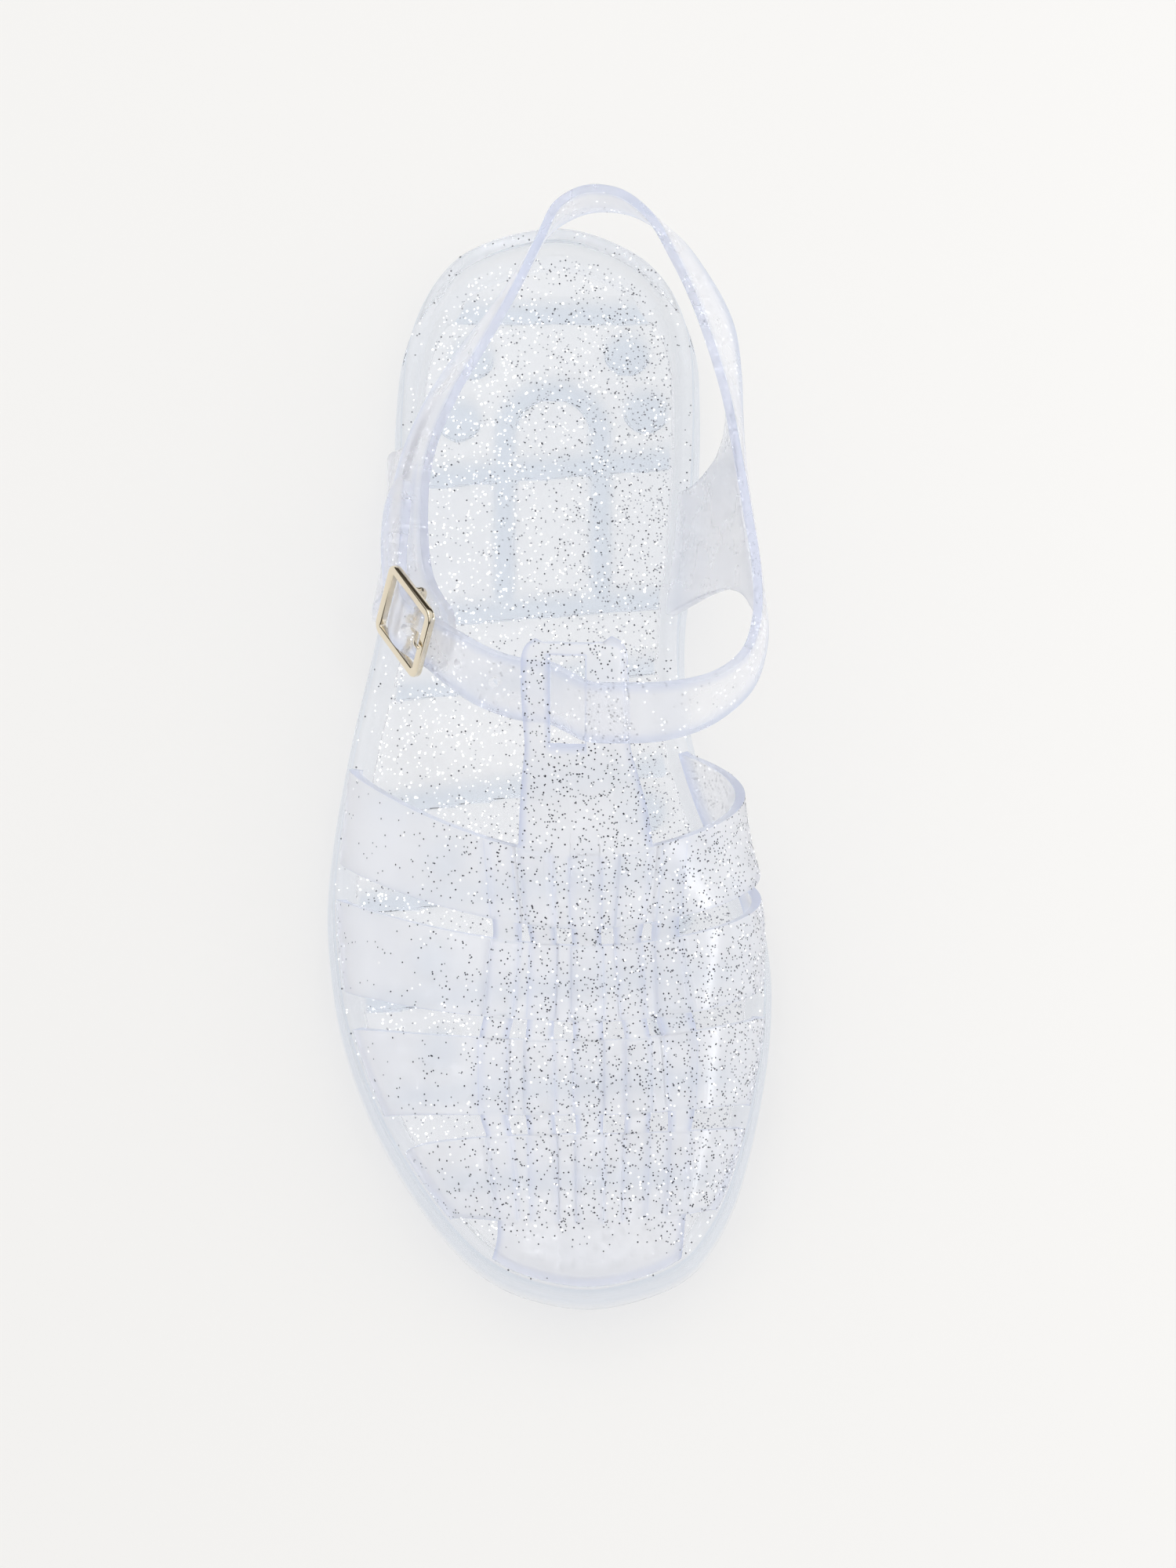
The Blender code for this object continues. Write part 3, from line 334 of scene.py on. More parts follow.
# Corners of the side profile, counted from the hollow, that show a deeper tint
TINTED_CORNERS = ((4, 0.5), (5, 0.45), (6, 0.85))
RIB_SLOPE = 2.6


def step_down(distance):
    """1 inside a shape and 0 outside, eased over the rib's sloped side, from a signed distance."""
    f = np.clip(0.5 - distance / RIB_SLOPE, 0.0, 1.0)
    return f * f * (3 - 2 * f)


def rib_share(x, t):
    """How far the hollow's ceiling comes down at a point: the largest of all ribs, pegs and the horseshoe."""
    share = np.zeros_like(x)
    for t_lateral, t_medial, width in CROSS_RIBS:
        x_lateral = float(side_x(t_lateral, -1, 0.0))
        x_medial = float(side_x(t_medial, 1, 0.0))
        line = t_lateral + (t_medial - t_lateral) * (x - x_lateral) / (x_medial - x_lateral)
        share = np.maximum(share, step_down(np.abs(t - line) - width / 2))
    for x_peg, t_peg, diameter in PEGS:
        share = np.maximum(share, step_down(np.hypot(x - x_peg, t - t_peg) - diameter / 2))
    away_x, away_t = x - HORSESHOE_CENTRE[0], t - HORSESHOE_CENTRE[1]
    bend = np.abs(np.hypot(away_x, away_t) - HORSESHOE_RADIUS) - HORSESHOE_WIDTH / 2
    leg = np.maximum(np.abs(np.abs(away_x) - HORSESHOE_RADIUS) - HORSESHOE_WIDTH / 2, t - HORSESHOE_END)
    return np.maximum(share, step_down(np.where(away_t < 0, bend, leg)))


def ceiling(x, t, _=None):
    """Height of the hollow's ceiling, ribs included."""
    share = rib_share(x, t)
    return level(UNDER, t) + arch(x, t) + HOLLOW_DEPTH * (1 - share) + RIB_RISE * share


def round_corners(loops, radius):
    """Each corner of a profile of rings becomes a quadratic arc that starts and ends a radius away."""
    out = [loops[0]]
    for before, here, after in zip(loops[:-2], loops[1:-1], loops[2:]):
        back, on = before - here, after - here
        a = np.minimum(radius / np.linalg.norm(back, axis=1), 0.45)[:, None]
        b = np.minimum(radius / np.linalg.norm(on, axis=1), 0.45)[:, None]
        first, last = here + back * a, here + on * b
        out += [first * (1 - f) ** 2 + here * 2 * f * (1 - f) + last * f * f for f in (0.0, 0.33, 0.67, 1.0)]
    out.append(loops[-1])
    return np.array(out)


def sole_loops(points):
    """Rings round the side profile, from the hollow to the footbed."""
    ring = outline(points)
    loops = []
    for distance, column, rise in SIDE_PROFILE:
        flat = inset(ring, distance)
        z = level(column, flat[:, 1]) + rise
        if column == UNDER and rise < 2.0:
            z = z + arch(flat[:, 0], flat[:, 1])
        loops.append(np.column_stack([flat, z]))
    loops[0][:, 2] = ceiling(loops[0][:, 0], loops[0][:, 1])
    return round_corners(np.array(loops), CORNER)


def fill_ring(ring, columns, height):
    """A grid between a ring's two sides; height gives z from x, t and the share of the way across."""
    half = len(ring) // 2
    left, right = ring[1:half], ring[:half:-1]
    f = np.linspace(0.0, 1.0, columns + 1)[1:-1]
    flat = left[:, None, :2] * (1 - f[None, :, None]) + right[:, None, :2] * f[None, :, None]
    z = height(flat[..., 0], flat[..., 1], f[None, :])
    return np.concatenate([flat, z[..., None]], axis=2).reshape(-1, 3)


def fill_faces(ring_size, ring_start, inner_start, columns):
    """Faces of the filled ring: rows of quads between the sides, and a fan at each tip."""
    half = ring_size // 2
    rows = np.arange(1, half)
    inner = inner_start + (rows - 1)[:, None] * (columns - 1) + np.arange(columns - 1)[None, :]
    table = np.column_stack([ring_start + rows, inner, ring_start + ring_size - rows])
    quads = cell_corners(table).reshape(-1, 4)
    fans = [(ring_start, a, b) for a, b in zip(table[0, :-1], table[0, 1:])]
    fans += [(ring_start + half, b, a) for a, b in zip(table[-1, :-1], table[-1, 1:])]
    return [*quads.tolist(), *fans]


def build_sole():
    """The side rings, the footbed's grid and the hollow's grid as one closed mesh."""
    loops = sole_loops(SOLE_RING)
    hollow = fill_ring(loops[0], BED_COLUMNS, ceiling)
    bed = fill_ring(loops[-1], BED_COLUMNS, lambda x, t, f: level(BED, t) - BED_DIP * 4 * f * (1 - f))
    shell = loops.reshape(-1, 3)
    points = np.vstack([shell, hollow, bed])
    bed_start = len(shell) + len(hollow)
    thick = np.zeros(len(points))
    for corner, share in TINTED_CORNERS:
        thick[(4 * corner - 3) * SOLE_RING : (4 * corner + 1) * SOLE_RING] = share
    under = slice(len(shell), bed_start)
    thick[under] = rib_share(points[under, 0], points[under, 1])
    faces = grid_faces(len(loops), SOLE_RING, around=True).tolist()
    faces += fill_faces(SOLE_RING, 0, len(shell), BED_COLUMNS)
    faces += fill_faces(SOLE_RING, (len(loops) - 1) * SOLE_RING, bed_start, BED_COLUMNS)
    sole = piece("clear_sole", world(points), faces, SHARP_SOLE)
    mark_thick(sole, thick)
    return sole


clear_sole = build_sole()
print("the sole has", len(clear_sole.data.polygons), "faces")

# %% [markdown]
# The cage is one wall: four bands across the foot, a toe cap, and five strips that run along it and
# are woven through the bands. Only the relief is woven. Where a strip passes over a band the
# wall is raised outside, and where it passes under it is raised inside. Each band edge is a
# section from rim to rim made of two cubic curves that meet level on the ridge, and the surface
# between the edges is a cubic through them, so that the gaps are simply cells left out.

# %% Tables of the cage
WALL = 2.2
RELIEF = 0.9
STEP = 0.5
BASE_INSET = 3.4
RIDGE_X = 8.9
LATERAL_RISE, MEDIAL_RISE = 0.55, 0.62
LATERAL_REACH, MEDIAL_REACH = 0.52, 0.50
SIDE_COLUMNS = 6
BAND_ROWS = (0.0, 0.05, 0.35, 0.65, 0.95, 1.0)
# (t lateral, t ridge, t medial, z ridge, swell lateral, swell medial, lead lateral, lead medial)
BAND_EDGES = (
    (134.0, 170.3, 130.0, 64.3, 6.5, 34.0, 0.19, 0.59),
    (155.7, 184.3, 153.0, 55.6, 2.2, 24.0, 0.28, 0.56),
    (164.8, 187.3, 160.0, 52.2, 1.8, 16.0, 0.26, 0.60),
    (185.7, 203.1, 183.6, 46.5, 1.7, 3.0, 0.40, 0.54),
    (195.3, 207.0, 192.5, 45.3, 1.5, 5.2, 0.38, 0.34),
    (215.5, 222.3, 213.2, 39.0, 1.5, 3.2, 0.50, 0.33),
    (224.2, 226.2, 218.7, 37.7, 0.8, 3.4, 0.40, 0.43),
    (239.5, 245.0, 237.5, 30.0, 0.0, 1.0, 0.15, 0.15),
)
# (edge, A left, A right, B left, B right, C left, C right, D left, D right, E left, E right)
STRIPS = (
    (0.0, -13.5, -8.0, -6.1, 0.6, 5.0, 11.4, 15.6, 22.6, 25.0, 30.0),
    (1.5, -11.4, -5.8, -3.6, 1.9, 5.4, 11.6, 14.4, 20.1, 23.2, 28.1),
    (3.5, -14.5, -8.5, -4.6, 1.2, 5.6, 12.1, 16.9, 21.9, 24.7, 32.0),
    (5.5, -14.1, -8.8, -4.5, 1.6, 6.2, 12.1, 17.1, 22.3, 27.1, 31.6),
    (7.0, -10.7, -6.5, -3.3, 2.2, 6.6, 11.9, 16.6, 21.3, 25.8, 29.9),
)
OVER = ((1, 3), (0, 2, 4), (1, 3), (0, 2, 4))
CAP_BASE = (-11.9, 28.9)
CAP_ROWS = (0.3, 0.6, 0.82, 1.0)
CAP_LEAD = 0.38
CAP_FOOT = (0.0, 0.17, 0.42)
CAP_FROM_T = 225.0
# (t, z, left x, right x)
T_STRAP = (
    (170.3, 64.3, -6.1, 22.6),
    (163.0, 68.9, -5.5, 19.6),
    (157.0, 74.0, -5.1, 18.0),
    (150.4, 79.6, -4.8, 17.4),
    (146.0, 83.3, -5.2, 17.3),
    (140.5, 87.8, -5.6, 17.1),
    (136.5, 90.7, -5.6, 16.9),
    (134.0, 92.3, -5.3, 16.6),
    (132.6, 93.1, -4.4, 15.7),
    (131.7, 93.6, -2.4, 13.6),
)
SLOT_LEFT, SLOT_RIGHT = 0.6, 8.2
SLOT_ROWS = (3, 7)
T_FLATTEN = 0.6
FINER = 4
CAGE_BEVEL, CAGE_BEVEL_ANGLE = 0.55, 65.0
STEP_TINT, STEP_TINT_MOST = 2.2, 0.6


# %% The cage's section and its rows
def bezier(a, b, c, d, f):
    """The cubic with four control points, a to d, at f from 0 to 1."""
    return a * (1 - f) ** 3 + 3 * b * f * (1 - f) ** 2 + 3 * c * f * f * (1 - f) + d * f ** 3


def section(edge):
    """The section at a band-edge number: one cubic from each rim up to the ridge, level where they meet."""
    row = smooth(np.arange(len(BAND_EDGES)), BAND_EDGES, np.array([edge]))[0]
    t_lat, t_top, t_med, z_top, swell_lat, swell_med, share_lat, share_med = row
    top = np.array([RIDGE_X, t_top, z_top])
    f = np.linspace(0.0, 1.0, 60)[:, None]
    halves = []
    for side, t, swell, share, rise, reach in (
        (-1, t_lat, swell_lat, share_lat, LATERAL_RISE, LATERAL_REACH),
        (1, t_med, swell_med, share_med, MEDIAL_RISE, MEDIAL_REACH),
    ):
        foot = np.array([side_x(t, side, BASE_INSET), t, level(RIM, t) + GAP])
        lean = (side * swell, share * (t_top - t), rise * (z_top - foot[2]))
        shoulder = top + (reach * (foot[0] - RIDGE_X), 0.0, 0.0)
        halves.append(bezier(foot, foot + lean, shoulder, top, f))
    return np.vstack([halves[0], halves[1][-2::-1]])


def section_row(edge):
    """Points of one section: the lateral side, the strips' sides with a step beside each, the medial side."""
    curve = section(edge)
    run = lengths(curve)
    first, last = int(np.argmin(curve[:, 0])), int(np.argmax(curve[:, 0]))
    strips = np.array(STRIPS)
    sides = smooth(strips[:, 0], strips[:, 1:], np.array([edge]))[0]
    stops = np.interp(sides, curve[first : last + 1, 0], run[first : last + 1])
    left, right = stops[0::2], stops[1::2]
    middle = np.column_stack([left - STEP, left, right, right + STEP]).ravel()
    lateral = np.linspace(0.0, middle[0], SIDE_COLUMNS + 1)[:-1]
    medial = np.linspace(middle[-1], run[-1], SIDE_COLUMNS + 1)[1:]
    spots = np.concatenate([lateral, middle, medial])
    return at_lengths(curve, run, spots)


def finer(grid, times):
    """A grid with more rows and columns: a cubic by the mean length of its steps, down and then across."""
    for axis in (0, 1):
        steps = np.linalg.norm(np.diff(grid, axis=axis), axis=2).mean(axis=1 - axis)
        knots = np.concatenate([[0.0], np.cumsum(steps)])
        last = len(knots) - 1
        spots = np.interp(np.linspace(0, last, last * times + 1), np.arange(last + 1), knots)
        grid = np.moveaxis(smooth(knots, np.moveaxis(grid, axis, 0), spots), 0, axis)
    return grid


def linear(grid, times):
    """The same for a plain height, in straight lines, so that a step keeps its corners."""
    rows, columns = grid.shape
    r = np.linspace(0, rows - 1, (rows - 1) * times + 1)
    c = np.linspace(0, columns - 1, (columns - 1) * times + 1)
    down = np.array([np.interp(r, np.arange(rows), grid[:, k]) for k in range(columns)]).T
    return np.array([np.interp(c, np.arange(columns), row) for row in down])


# The columns of each strip's two sides
STRIP_COLUMNS = [(SIDE_COLUMNS + 4 * k + 1, SIDE_COLUMNS + 4 * k + 2) for k in range(5)]


def band_rows():
    """Points, heights of the two skins and kept cells of all four bands, and of the strips between them."""
    edges = [2.0 * band + share for band in range(4) for share in BAND_ROWS]
    grid = np.array([section_row(edge) for edge in edges])
    rows, columns = grid.shape[:2]
    out, back = np.full((rows, columns), WALL / 2), np.full((rows, columns), WALL / 2)
    kept = np.zeros((rows - 1, columns - 1), bool)
    for r in range(rows):
        band, row = divmod(r, len(BAND_ROWS))
        last = row == len(BAND_ROWS) - 1
        for k, (left, right) in enumerate(STRIP_COLUMNS):
            if 0 < row and not last:
                skin = out if k in OVER[band] else back
                skin[r, [left, right]] += RELIEF
            if last and r < rows - 1:
                kept[r, left:right] = True
        if not last:
            kept[r] = True
    return grid, out, back, kept


def tongue_rows(root):
    """The T-strap's rows from its rounded top down to its root on the first band, with its slot's columns."""
    table = np.array(T_STRAP)
    rows = []
    for t, z, left, right in table[1:][::-1]:
        share = np.clip((table[0, 0] - t) / (table[0, 0] - table[SLOT_ROWS[0], 0]), 0.0, 1.0)
        slot = np.linspace(SLOT_LEFT, SLOT_RIGHT, 5)
        flank = np.linspace(SLOT_RIGHT, right, len(root) - 5)[1:]
        x = np.concatenate([[left], slot, flank])
        x = root[:, 0] + (x - root[:, 0]) * share
        sag = (root[:, 1:] - table[0, :2]) * (1.0 - T_FLATTEN * share)
        rows.append(np.column_stack([x, t + sag[:, 0], z + sag[:, 1]]))
    return np.vstack([rows, root[None]])


def cap_rows(brow, before):
    """The toe cap's rows: a cubic from the toe band's edge, along its own heading, down to the rim."""
    share = (brow[:, 0] - brow[0, 0]) / (brow[-1, 0] - brow[0, 0])
    base_x = CAP_BASE[0] + (CAP_BASE[1] - CAP_BASE[0]) * share
    toe = inset(outline(OUTLINE_POINTS), BASE_INSET)
    base_t = read_off(toe[toe[:, 1] > CAP_FROM_T], base_x, 0, 1)
    base = np.column_stack([base_x, base_t, level(RIM, base_t) + GAP])
    drop = np.linalg.norm(base - brow, axis=1)[:, None]
    b = brow + unit(brow - before) * drop * CAP_LEAD
    c = base + np.array(CAP_FOOT) * drop
    return np.vstack([brow[None], [bezier(brow, b, c, base, f) for f in CAP_ROWS]])


def upright(directions, row, column):
    """Directions turned so that they point up at one place."""
    return -directions if directions[row, column, 2] < 0 else directions


# %% The wall round the cage's surface
def thick_sheet(points, directions, out, back, kept):
    """A wall over the kept cells: two skins, an edge where no cell follows, and which points are used."""
    rows, columns = points.shape[:2]
    outer = points + directions * out[..., None]
    inner = points - directions * back[..., None]
    ring = cell_corners(np.arange(rows * columns).reshape(rows, columns))
    shift = rows * columns
    faces = [ring[kept], ring[kept][:, ::-1] + shift]
    padded = np.pad(kept, 1)
    beside = (padded[:-2, 1:-1], padded[1:-1, 2:], padded[2:, 1:-1], padded[1:-1, :-2])
    for k, neighbour in enumerate(beside):
        rim = kept & ~neighbour
        a, b = ring[rim][:, k], ring[rim][:, (k + 1) % 4]
        faces.append(np.column_stack([b, a, a + shift, b + shift]))
    faces = np.vstack(faces)
    used, renumbered = np.unique(faces, return_inverse=True)
    every = np.vstack([outer.reshape(-1, 3), inner.reshape(-1, 3)])
    return every[used], renumbered.reshape(faces.shape), used


def cage_surface():
    """The whole cage as one fine grid of points, normals, skin heights and kept cells."""
    bands, out, back, kept = band_rows()
    t_left, t_right = STRIP_COLUMNS[1][0], STRIP_COLUMNS[3][1]
    cap_left, cap_right = STRIP_COLUMNS[0][0], STRIP_COLUMNS[4][1]
    tongue = finer(tongue_rows(bands[0, t_left : t_right + 1]), FINER)
    cap = finer(cap_rows(bands[-1, cap_left : cap_right + 1], bands[-2, cap_left : cap_right + 1]), FINER)
    fine = finer(bands, FINER)
    fine_n = upright(normals(fine), 8, (SIDE_COLUMNS + 8) * FINER)
    level_out(fine_n[:, 0])
    level_out(fine_n[:, -1])
    tongue_n = upright(normals(tongue), 16, 16)
    cap_n = upright(normals(cap), 0, 16)
    level_out(cap_n[-1])
    above, below = len(tongue) - 1, len(cap) - 1
    rows, columns = fine.shape[:2]
    grid = np.zeros((above + rows + below, columns, 3))
    grid_n = np.zeros_like(grid)
    skin = np.full(grid.shape[:2], WALL / 2)
    skin_out, skin_back = skin.copy(), skin.copy()
    keep = np.zeros((grid.shape[0] - 1, columns - 1), bool)
    middle = slice(above, above + rows)
    t_cols = slice(t_left * FINER, t_right * FINER + 1)
    cap_cols = slice(cap_left * FINER, cap_right * FINER + 1)
    grid[:above, t_cols], grid_n[:above, t_cols] = tongue[:-1], tongue_n[:-1]
    grid[above + rows :, cap_cols], grid_n[above + rows :, cap_cols] = cap[1:], cap_n[1:]
    grid[middle], grid_n[middle] = fine, fine_n
    skin_out[middle], skin_back[middle] = linear(out, FINER), linear(back, FINER)
    keep[above : above + rows - 1] = np.kron(kept, np.ones((FINER, FINER), bool))
    keep[:above, t_left * FINER : t_right * FINER] = True
    slot_rows = slice(above - SLOT_ROWS[1] * FINER, above - SLOT_ROWS[0] * FINER)
    keep[slot_rows, (t_left + 1) * FINER : (t_left + 5) * FINER] = False
    keep[above + rows - 1 :, cap_left * FINER : cap_right * FINER] = True
    return grid, grid_n, skin_out, skin_back, keep


def soften(obj, width, angle):
    """A bevel on the edges past an angle, so that the light catches them."""
    bevel = obj.modifiers.new("edge", "BEVEL")
    bevel.width = width * MM
    bevel.segments = BEVEL_SEGMENTS
    bevel.limit_method = "ANGLE"
    bevel.angle_limit = math.radians(angle)
    bevel.harden_normals = False
    return obj


def edge_share(kept, relief):
    """1 at a vertex on the edge of the kept cells, and part of that beside a strip's step."""
    count = np.zeros((kept.shape[0] + 1, kept.shape[1] + 1))
    for r, c in ((0, 0), (0, 1), (1, 0), (1, 1)):
        count[r : r + kept.shape[0], c : c + kept.shape[1]] += kept
    step = np.abs(np.gradient(relief, axis=1))
    return np.where(count < 4, 1.0, np.clip(step / RELIEF * STEP_TINT, 0.0, STEP_TINT_MOST))


cage = cage_surface()
cage_points, cage_faces, used = thick_sheet(*cage)
clear_cage = piece("clear_cage", world(cage_points), cage_faces, SHARP_CAGE)
share = edge_share(cage[4], cage[2] + cage[3]).ravel()
mark_thick(clear_cage, share[used % len(share)])
soften(clear_cage, CAGE_BEVEL, CAGE_BEVEL_ANGLE)
print("the cage keeps", int(cage[4].sum()), "cells of", cage[4].size)

# %% [markdown]
# The ankle strap is a ribbon that leaves its free tail, goes under the buckle, through the slot of
# the T-strap, round the heel and back to the buckle's tab, with a post down to the sole on each
# side. A voxel remesh would melt ribbon and posts together, but it ripples a two-millimetre wall,
# and clear plastic shows every ripple. So each sheet gets its rounded edges first, and exact
# booleans join them and cut the holes.

# %% Tables of the ankle strap
STRAP_THICK = 2.0
# (x top, t top, z top, x low, t low, z low), from the free tail to the tab's end
STRAP = (
    (-30.6, 82.5, 71.6, -35.6, 84.0, 62.2),
    (-31.6, 94.0, 71.6, -36.6, 96.5, 60.6),
    (-32.2, 106.3, 70.1, -35.0, 113.0, 60.1),
    (-30.9, 114.5, 74.9, -33.6, 121.2, 64.9),
    (-23.5, 120.8, 77.1, -26.3, 127.5, 67.0),
    (-19.6, 125.0, 82.0, -22.4, 132.4, 71.2),
    (-12.5, 130.6, 86.2, -14.6, 139.6, 75.8),
    (-6.0, 133.2, 87.7, -6.0, 143.7, 78.3),
    (0.2, 134.2, 88.1, 0.2, 144.7, 79.1),
    (4.3, 137.2, 90.5, 4.3, 147.4, 81.4),
    (8.4, 140.0, 92.2, 8.4, 150.3, 83.4),
    (17.0, 140.2, 91.2, 17.0, 150.4, 82.2),
    (25.8, 139.4, 89.6, 24.8, 149.2, 80.4),
    (37.0, 136.0, 87.0, 36.4, 143.4, 76.4),
    (43.2, 130.4, 85.4, 44.4, 134.4, 72.6),
    (45.8, 121.6, 83.4, 47.6, 123.4, 70.6),
    (45.8, 109.0, 81.8, 47.0, 110.0, 68.8),
    (44.2, 97.0, 80.4, 45.6, 97.4, 67.2),
    (41.6, 79.0, 78.4, 43.4, 79.0, 65.0),
    (39.4, 66.0, 76.6, 42.8, 66.4, 63.4),
    (36.6, 55.0, 75.2, 42.6, 55.8, 62.6),
    (32.4, 41.8, 73.8, 40.8, 43.0, 62.0),
    (28.0, 31.6, 73.4, 35.4, 31.4, 61.4),
    (22.4, 21.4, 73.4, 27.6, 21.0, 61.2),
    (15.6, 15.9, 73.4, 18.0, 15.2, 61.2),
    (8.4, 15.1, 73.4, 8.6, 15.0, 61.2),
    (2.2, 18.6, 73.4, 0.4, 19.6, 61.2),
    (-1.6, 26.4, 73.4, -5.4, 28.6, 61.4),
    (-7.0, 38.6, 73.4, -12.6, 40.0, 62.2),
    (-13.8, 52.0, 73.6, -21.4, 53.0, 62.8),
    (-21.0, 65.6, 74.0, -28.6, 65.6, 62.0),
    (-26.2, 80.0, 74.4, -33.6, 80.0, 60.6),
    (-27.4, 97.0, 74.4, -34.4, 99.0, 59.8),
    (-25.4, 111.0, 75.2, -29.8, 119.4, 60.6),
    (-19.6, 121.6, 79.4, -23.2, 130.6, 65.8),
)
STRAP_STEPS = 10
STRAP_COLUMNS = 12
END_ROUND = 5.5
HOLE_DIAMETER = 2.4
# (row of STRAP, fraction to the next row)
STRAP_HOLES = ((1, 0.1), (2, 0.1), (5, 0.3), (5, 1.3))
PRONG_SLOT = (1.4, 8.2)
PRONG_SLOT_LIFT = 4.6
CUT_DEPTH = 2.0
HOLE_SIDES = 24
HOLE_NEAR = 0.05
CUTTER_SHARP = 40.0
# (rise, rear edge t, front edge t, lean)
MEDIAL_POST = (
    (0.0, 67.0, 97.0, 0.0),
    (0.2, 69.5, 98.6, 0.24),
    (0.45, 70.8, 101.0, 0.52),
    (0.68, 70.2, 105.0, 0.75),
    (0.84, 67.0, 110.5, 0.88),
    (0.94, 61.5, 116.5, 0.95),
    (1.0, 57.0, 120.0, 1.0),
)
LATERAL_POST = (
    (0.0, 57.0, 96.0, 0.0),
    (0.16, 57.4, 96.0, 0.02),
    (0.35, 60.4, 97.4, 0.25),
    (0.58, 62.6, 99.0, 0.55),
    (0.78, 62.0, 101.5, 0.78),
    (0.92, 58.0, 104.5, 0.93),
    (1.0, 53.0, 107.0, 1.0),
)
MEDIAL_SPAN = (15, 23)
LATERAL_SPAN = (27, 34)
POST_HEAD_SHARE = 0.62
MEDIAL_FOOT_INSET = 3.5
LATERAL_FOOT_INSET = -0.4
LATERAL_FOOT_RISE = 8.6
POST_ROWS = 36
POST_COLUMNS = 24
POST_FOOT_THICK = 2.6
POST_HEAD_THICK = 1.5
STRAP_BEVEL = 0.5
EDGE_REACH = 1.9


# %% The ribbon and its posts
def strap_edges(at):
    """The ribbon's top and low edge at row numbers of STRAP: a cubic along its middle's length."""
    table = np.array(STRAP)
    middle = (table[:, :3] + table[:, 3:]) / 2
    run = lengths(middle)
    both = smooth(run, table, np.interp(at, np.arange(len(run)), run))
    return both[:, :3], both[:, 3:]


def ribbon_grid(at, columns):
    """The ribbon as a ruled surface between its edges, with its normals."""
    top, low = strap_edges(at)
    f = np.linspace(0.0, 1.0, columns)[None, :, None]
    grid = top[:, None] * (1 - f) + low[:, None] * f
    return grid, normals(grid)


def ribbon_sheet():
    """The ribbon's wall. Its width follows a half circle over the last few millimetres of each end."""
    at = np.linspace(0.0, len(STRAP) - 1.0, (len(STRAP) - 1) * STRAP_STEPS + 1)
    grid, directions = ribbon_grid(at, STRAP_COLUMNS + 1)
    middle = grid.mean(axis=1)
    run = lengths(middle)
    end = np.clip(np.minimum(run, run[-1] - run) / END_ROUND, 0.0, 1.0)
    share = np.maximum(np.sqrt(1 - (1 - end) ** 2), 0.25)[:, None, None]
    grid = middle[:, None] + (grid - middle[:, None]) * share
    half = np.full(grid.shape[:2], STRAP_THICK / 2)
    return thick_sheet(grid, directions, half, half, np.ones((len(at) - 1, STRAP_COLUMNS), bool))


def strap_line(t, side):
    """The line that a post's head follows, at stations of the ribbon's lateral (-1) or medial (1) side."""
    span = MEDIAL_SPAN if side > 0 else LATERAL_SPAN
    top, low = strap_edges(np.linspace(span[0], span[1], 240))
    line = top * (1.0 - POST_HEAD_SHARE) + low * POST_HEAD_SHARE
    return np.stack([read_off(line, t, 1, k) for k in (0, 1, 2)], axis=-1)


def post_grid(table, side, foot_inset, foot_height):
    """A post as a surface: a row slides from the foot's line to the ribbon's by its rise and its lean."""
    table = np.array(table)
    rise = np.linspace(0.0, 1.0, POST_ROWS)
    rear, front, lean = (smooth(table[:, 0], table[:, k], rise) for k in (1, 2, 3))
    t = rear[:, None] + (front - rear)[:, None] * np.linspace(0.0, 1.0, POST_COLUMNS + 1)[None, :]
    head = strap_line(t, side)
    foot_x, foot_z = side_x(t, side, foot_inset), foot_height(t)
    x = foot_x + (head[..., 0] - foot_x) * lean[:, None]
    z = foot_z + (head[..., 2] - foot_z) * rise[:, None]
    grid = np.stack([x, t, z], axis=-1)
    directions = normals(grid)
    level_out(directions[0])
    return grid, directions, rise


def post_sheet(grid, directions, rise):
    """The post's wall, thicker at its foot."""
    half = (POST_FOOT_THICK + (POST_HEAD_THICK - POST_FOOT_THICK) * rise)[:, None] / 2
    half = np.repeat(half, POST_COLUMNS + 1, axis=1)
    return thick_sheet(grid, directions, half, half, np.ones((POST_ROWS - 1, POST_COLUMNS), bool))


POST_GRIDS = (
    post_grid(MEDIAL_POST, 1, MEDIAL_FOOT_INSET, lambda t: level(RIM, t) + GAP),
    post_grid(LATERAL_POST, -1, LATERAL_FOOT_INSET, lambda t: level(UNDER, t) + LATERAL_FOOT_RISE),
)

# %% [markdown]
# The buckle has its own axes: along the strap towards the front, down across it, and out from the
# foot. Everything metal is a profile carried along a path in those axes.

# %% The buckle's axes
TAB_POINT = np.array((-27.2, 116.2, 67.4))
ALONG = (0.463, 0.790, 0.400)
DOWN = (-0.219, 0.540, -0.810)
buckle_along = unit(np.array(ALONG))
buckle_down = unit(np.array(DOWN) - buckle_along * np.dot(buckle_along, DOWN))
buckle_out = np.cross(buckle_along, buckle_down)


def at_buckle(points):
    """Points (along, down, out) in millimetres to (x, t, z)."""
    axes = np.array([buckle_along, buckle_down, buckle_out])
    return TAB_POINT + np.asarray(points, float) @ axes


print("the buckle faces", buckle_out.round(2))


# %% The strap with its posts and holes
def capsule(centre, heading, out, length, width, depth):
    """A closed long-hole cutter: a ring of a stretched circle on each side of the strap."""
    heading, out = unit(heading), unit(out)
    angle = 2 * math.pi * (np.arange(HOLE_SIDES) + 0.5) / HOLE_SIDES
    shift = np.where(np.cos(angle) > 0, 1, -1) * max(length - width, 0.0) / 2
    u, v = width / 2 * np.cos(angle) + shift, width / 2 * np.sin(angle)
    ring = heading * u[:, None] + np.cross(heading, out) * v[:, None]
    points = np.vstack([centre + ring - out * depth, centre + ring + out * depth])
    ends = [list(range(HOLE_SIDES)), list(range(2 * HOLE_SIDES - 1, HOLE_SIDES - 1, -1))]
    return points, ends + grid_faces(2, HOLE_SIDES, True).tolist()


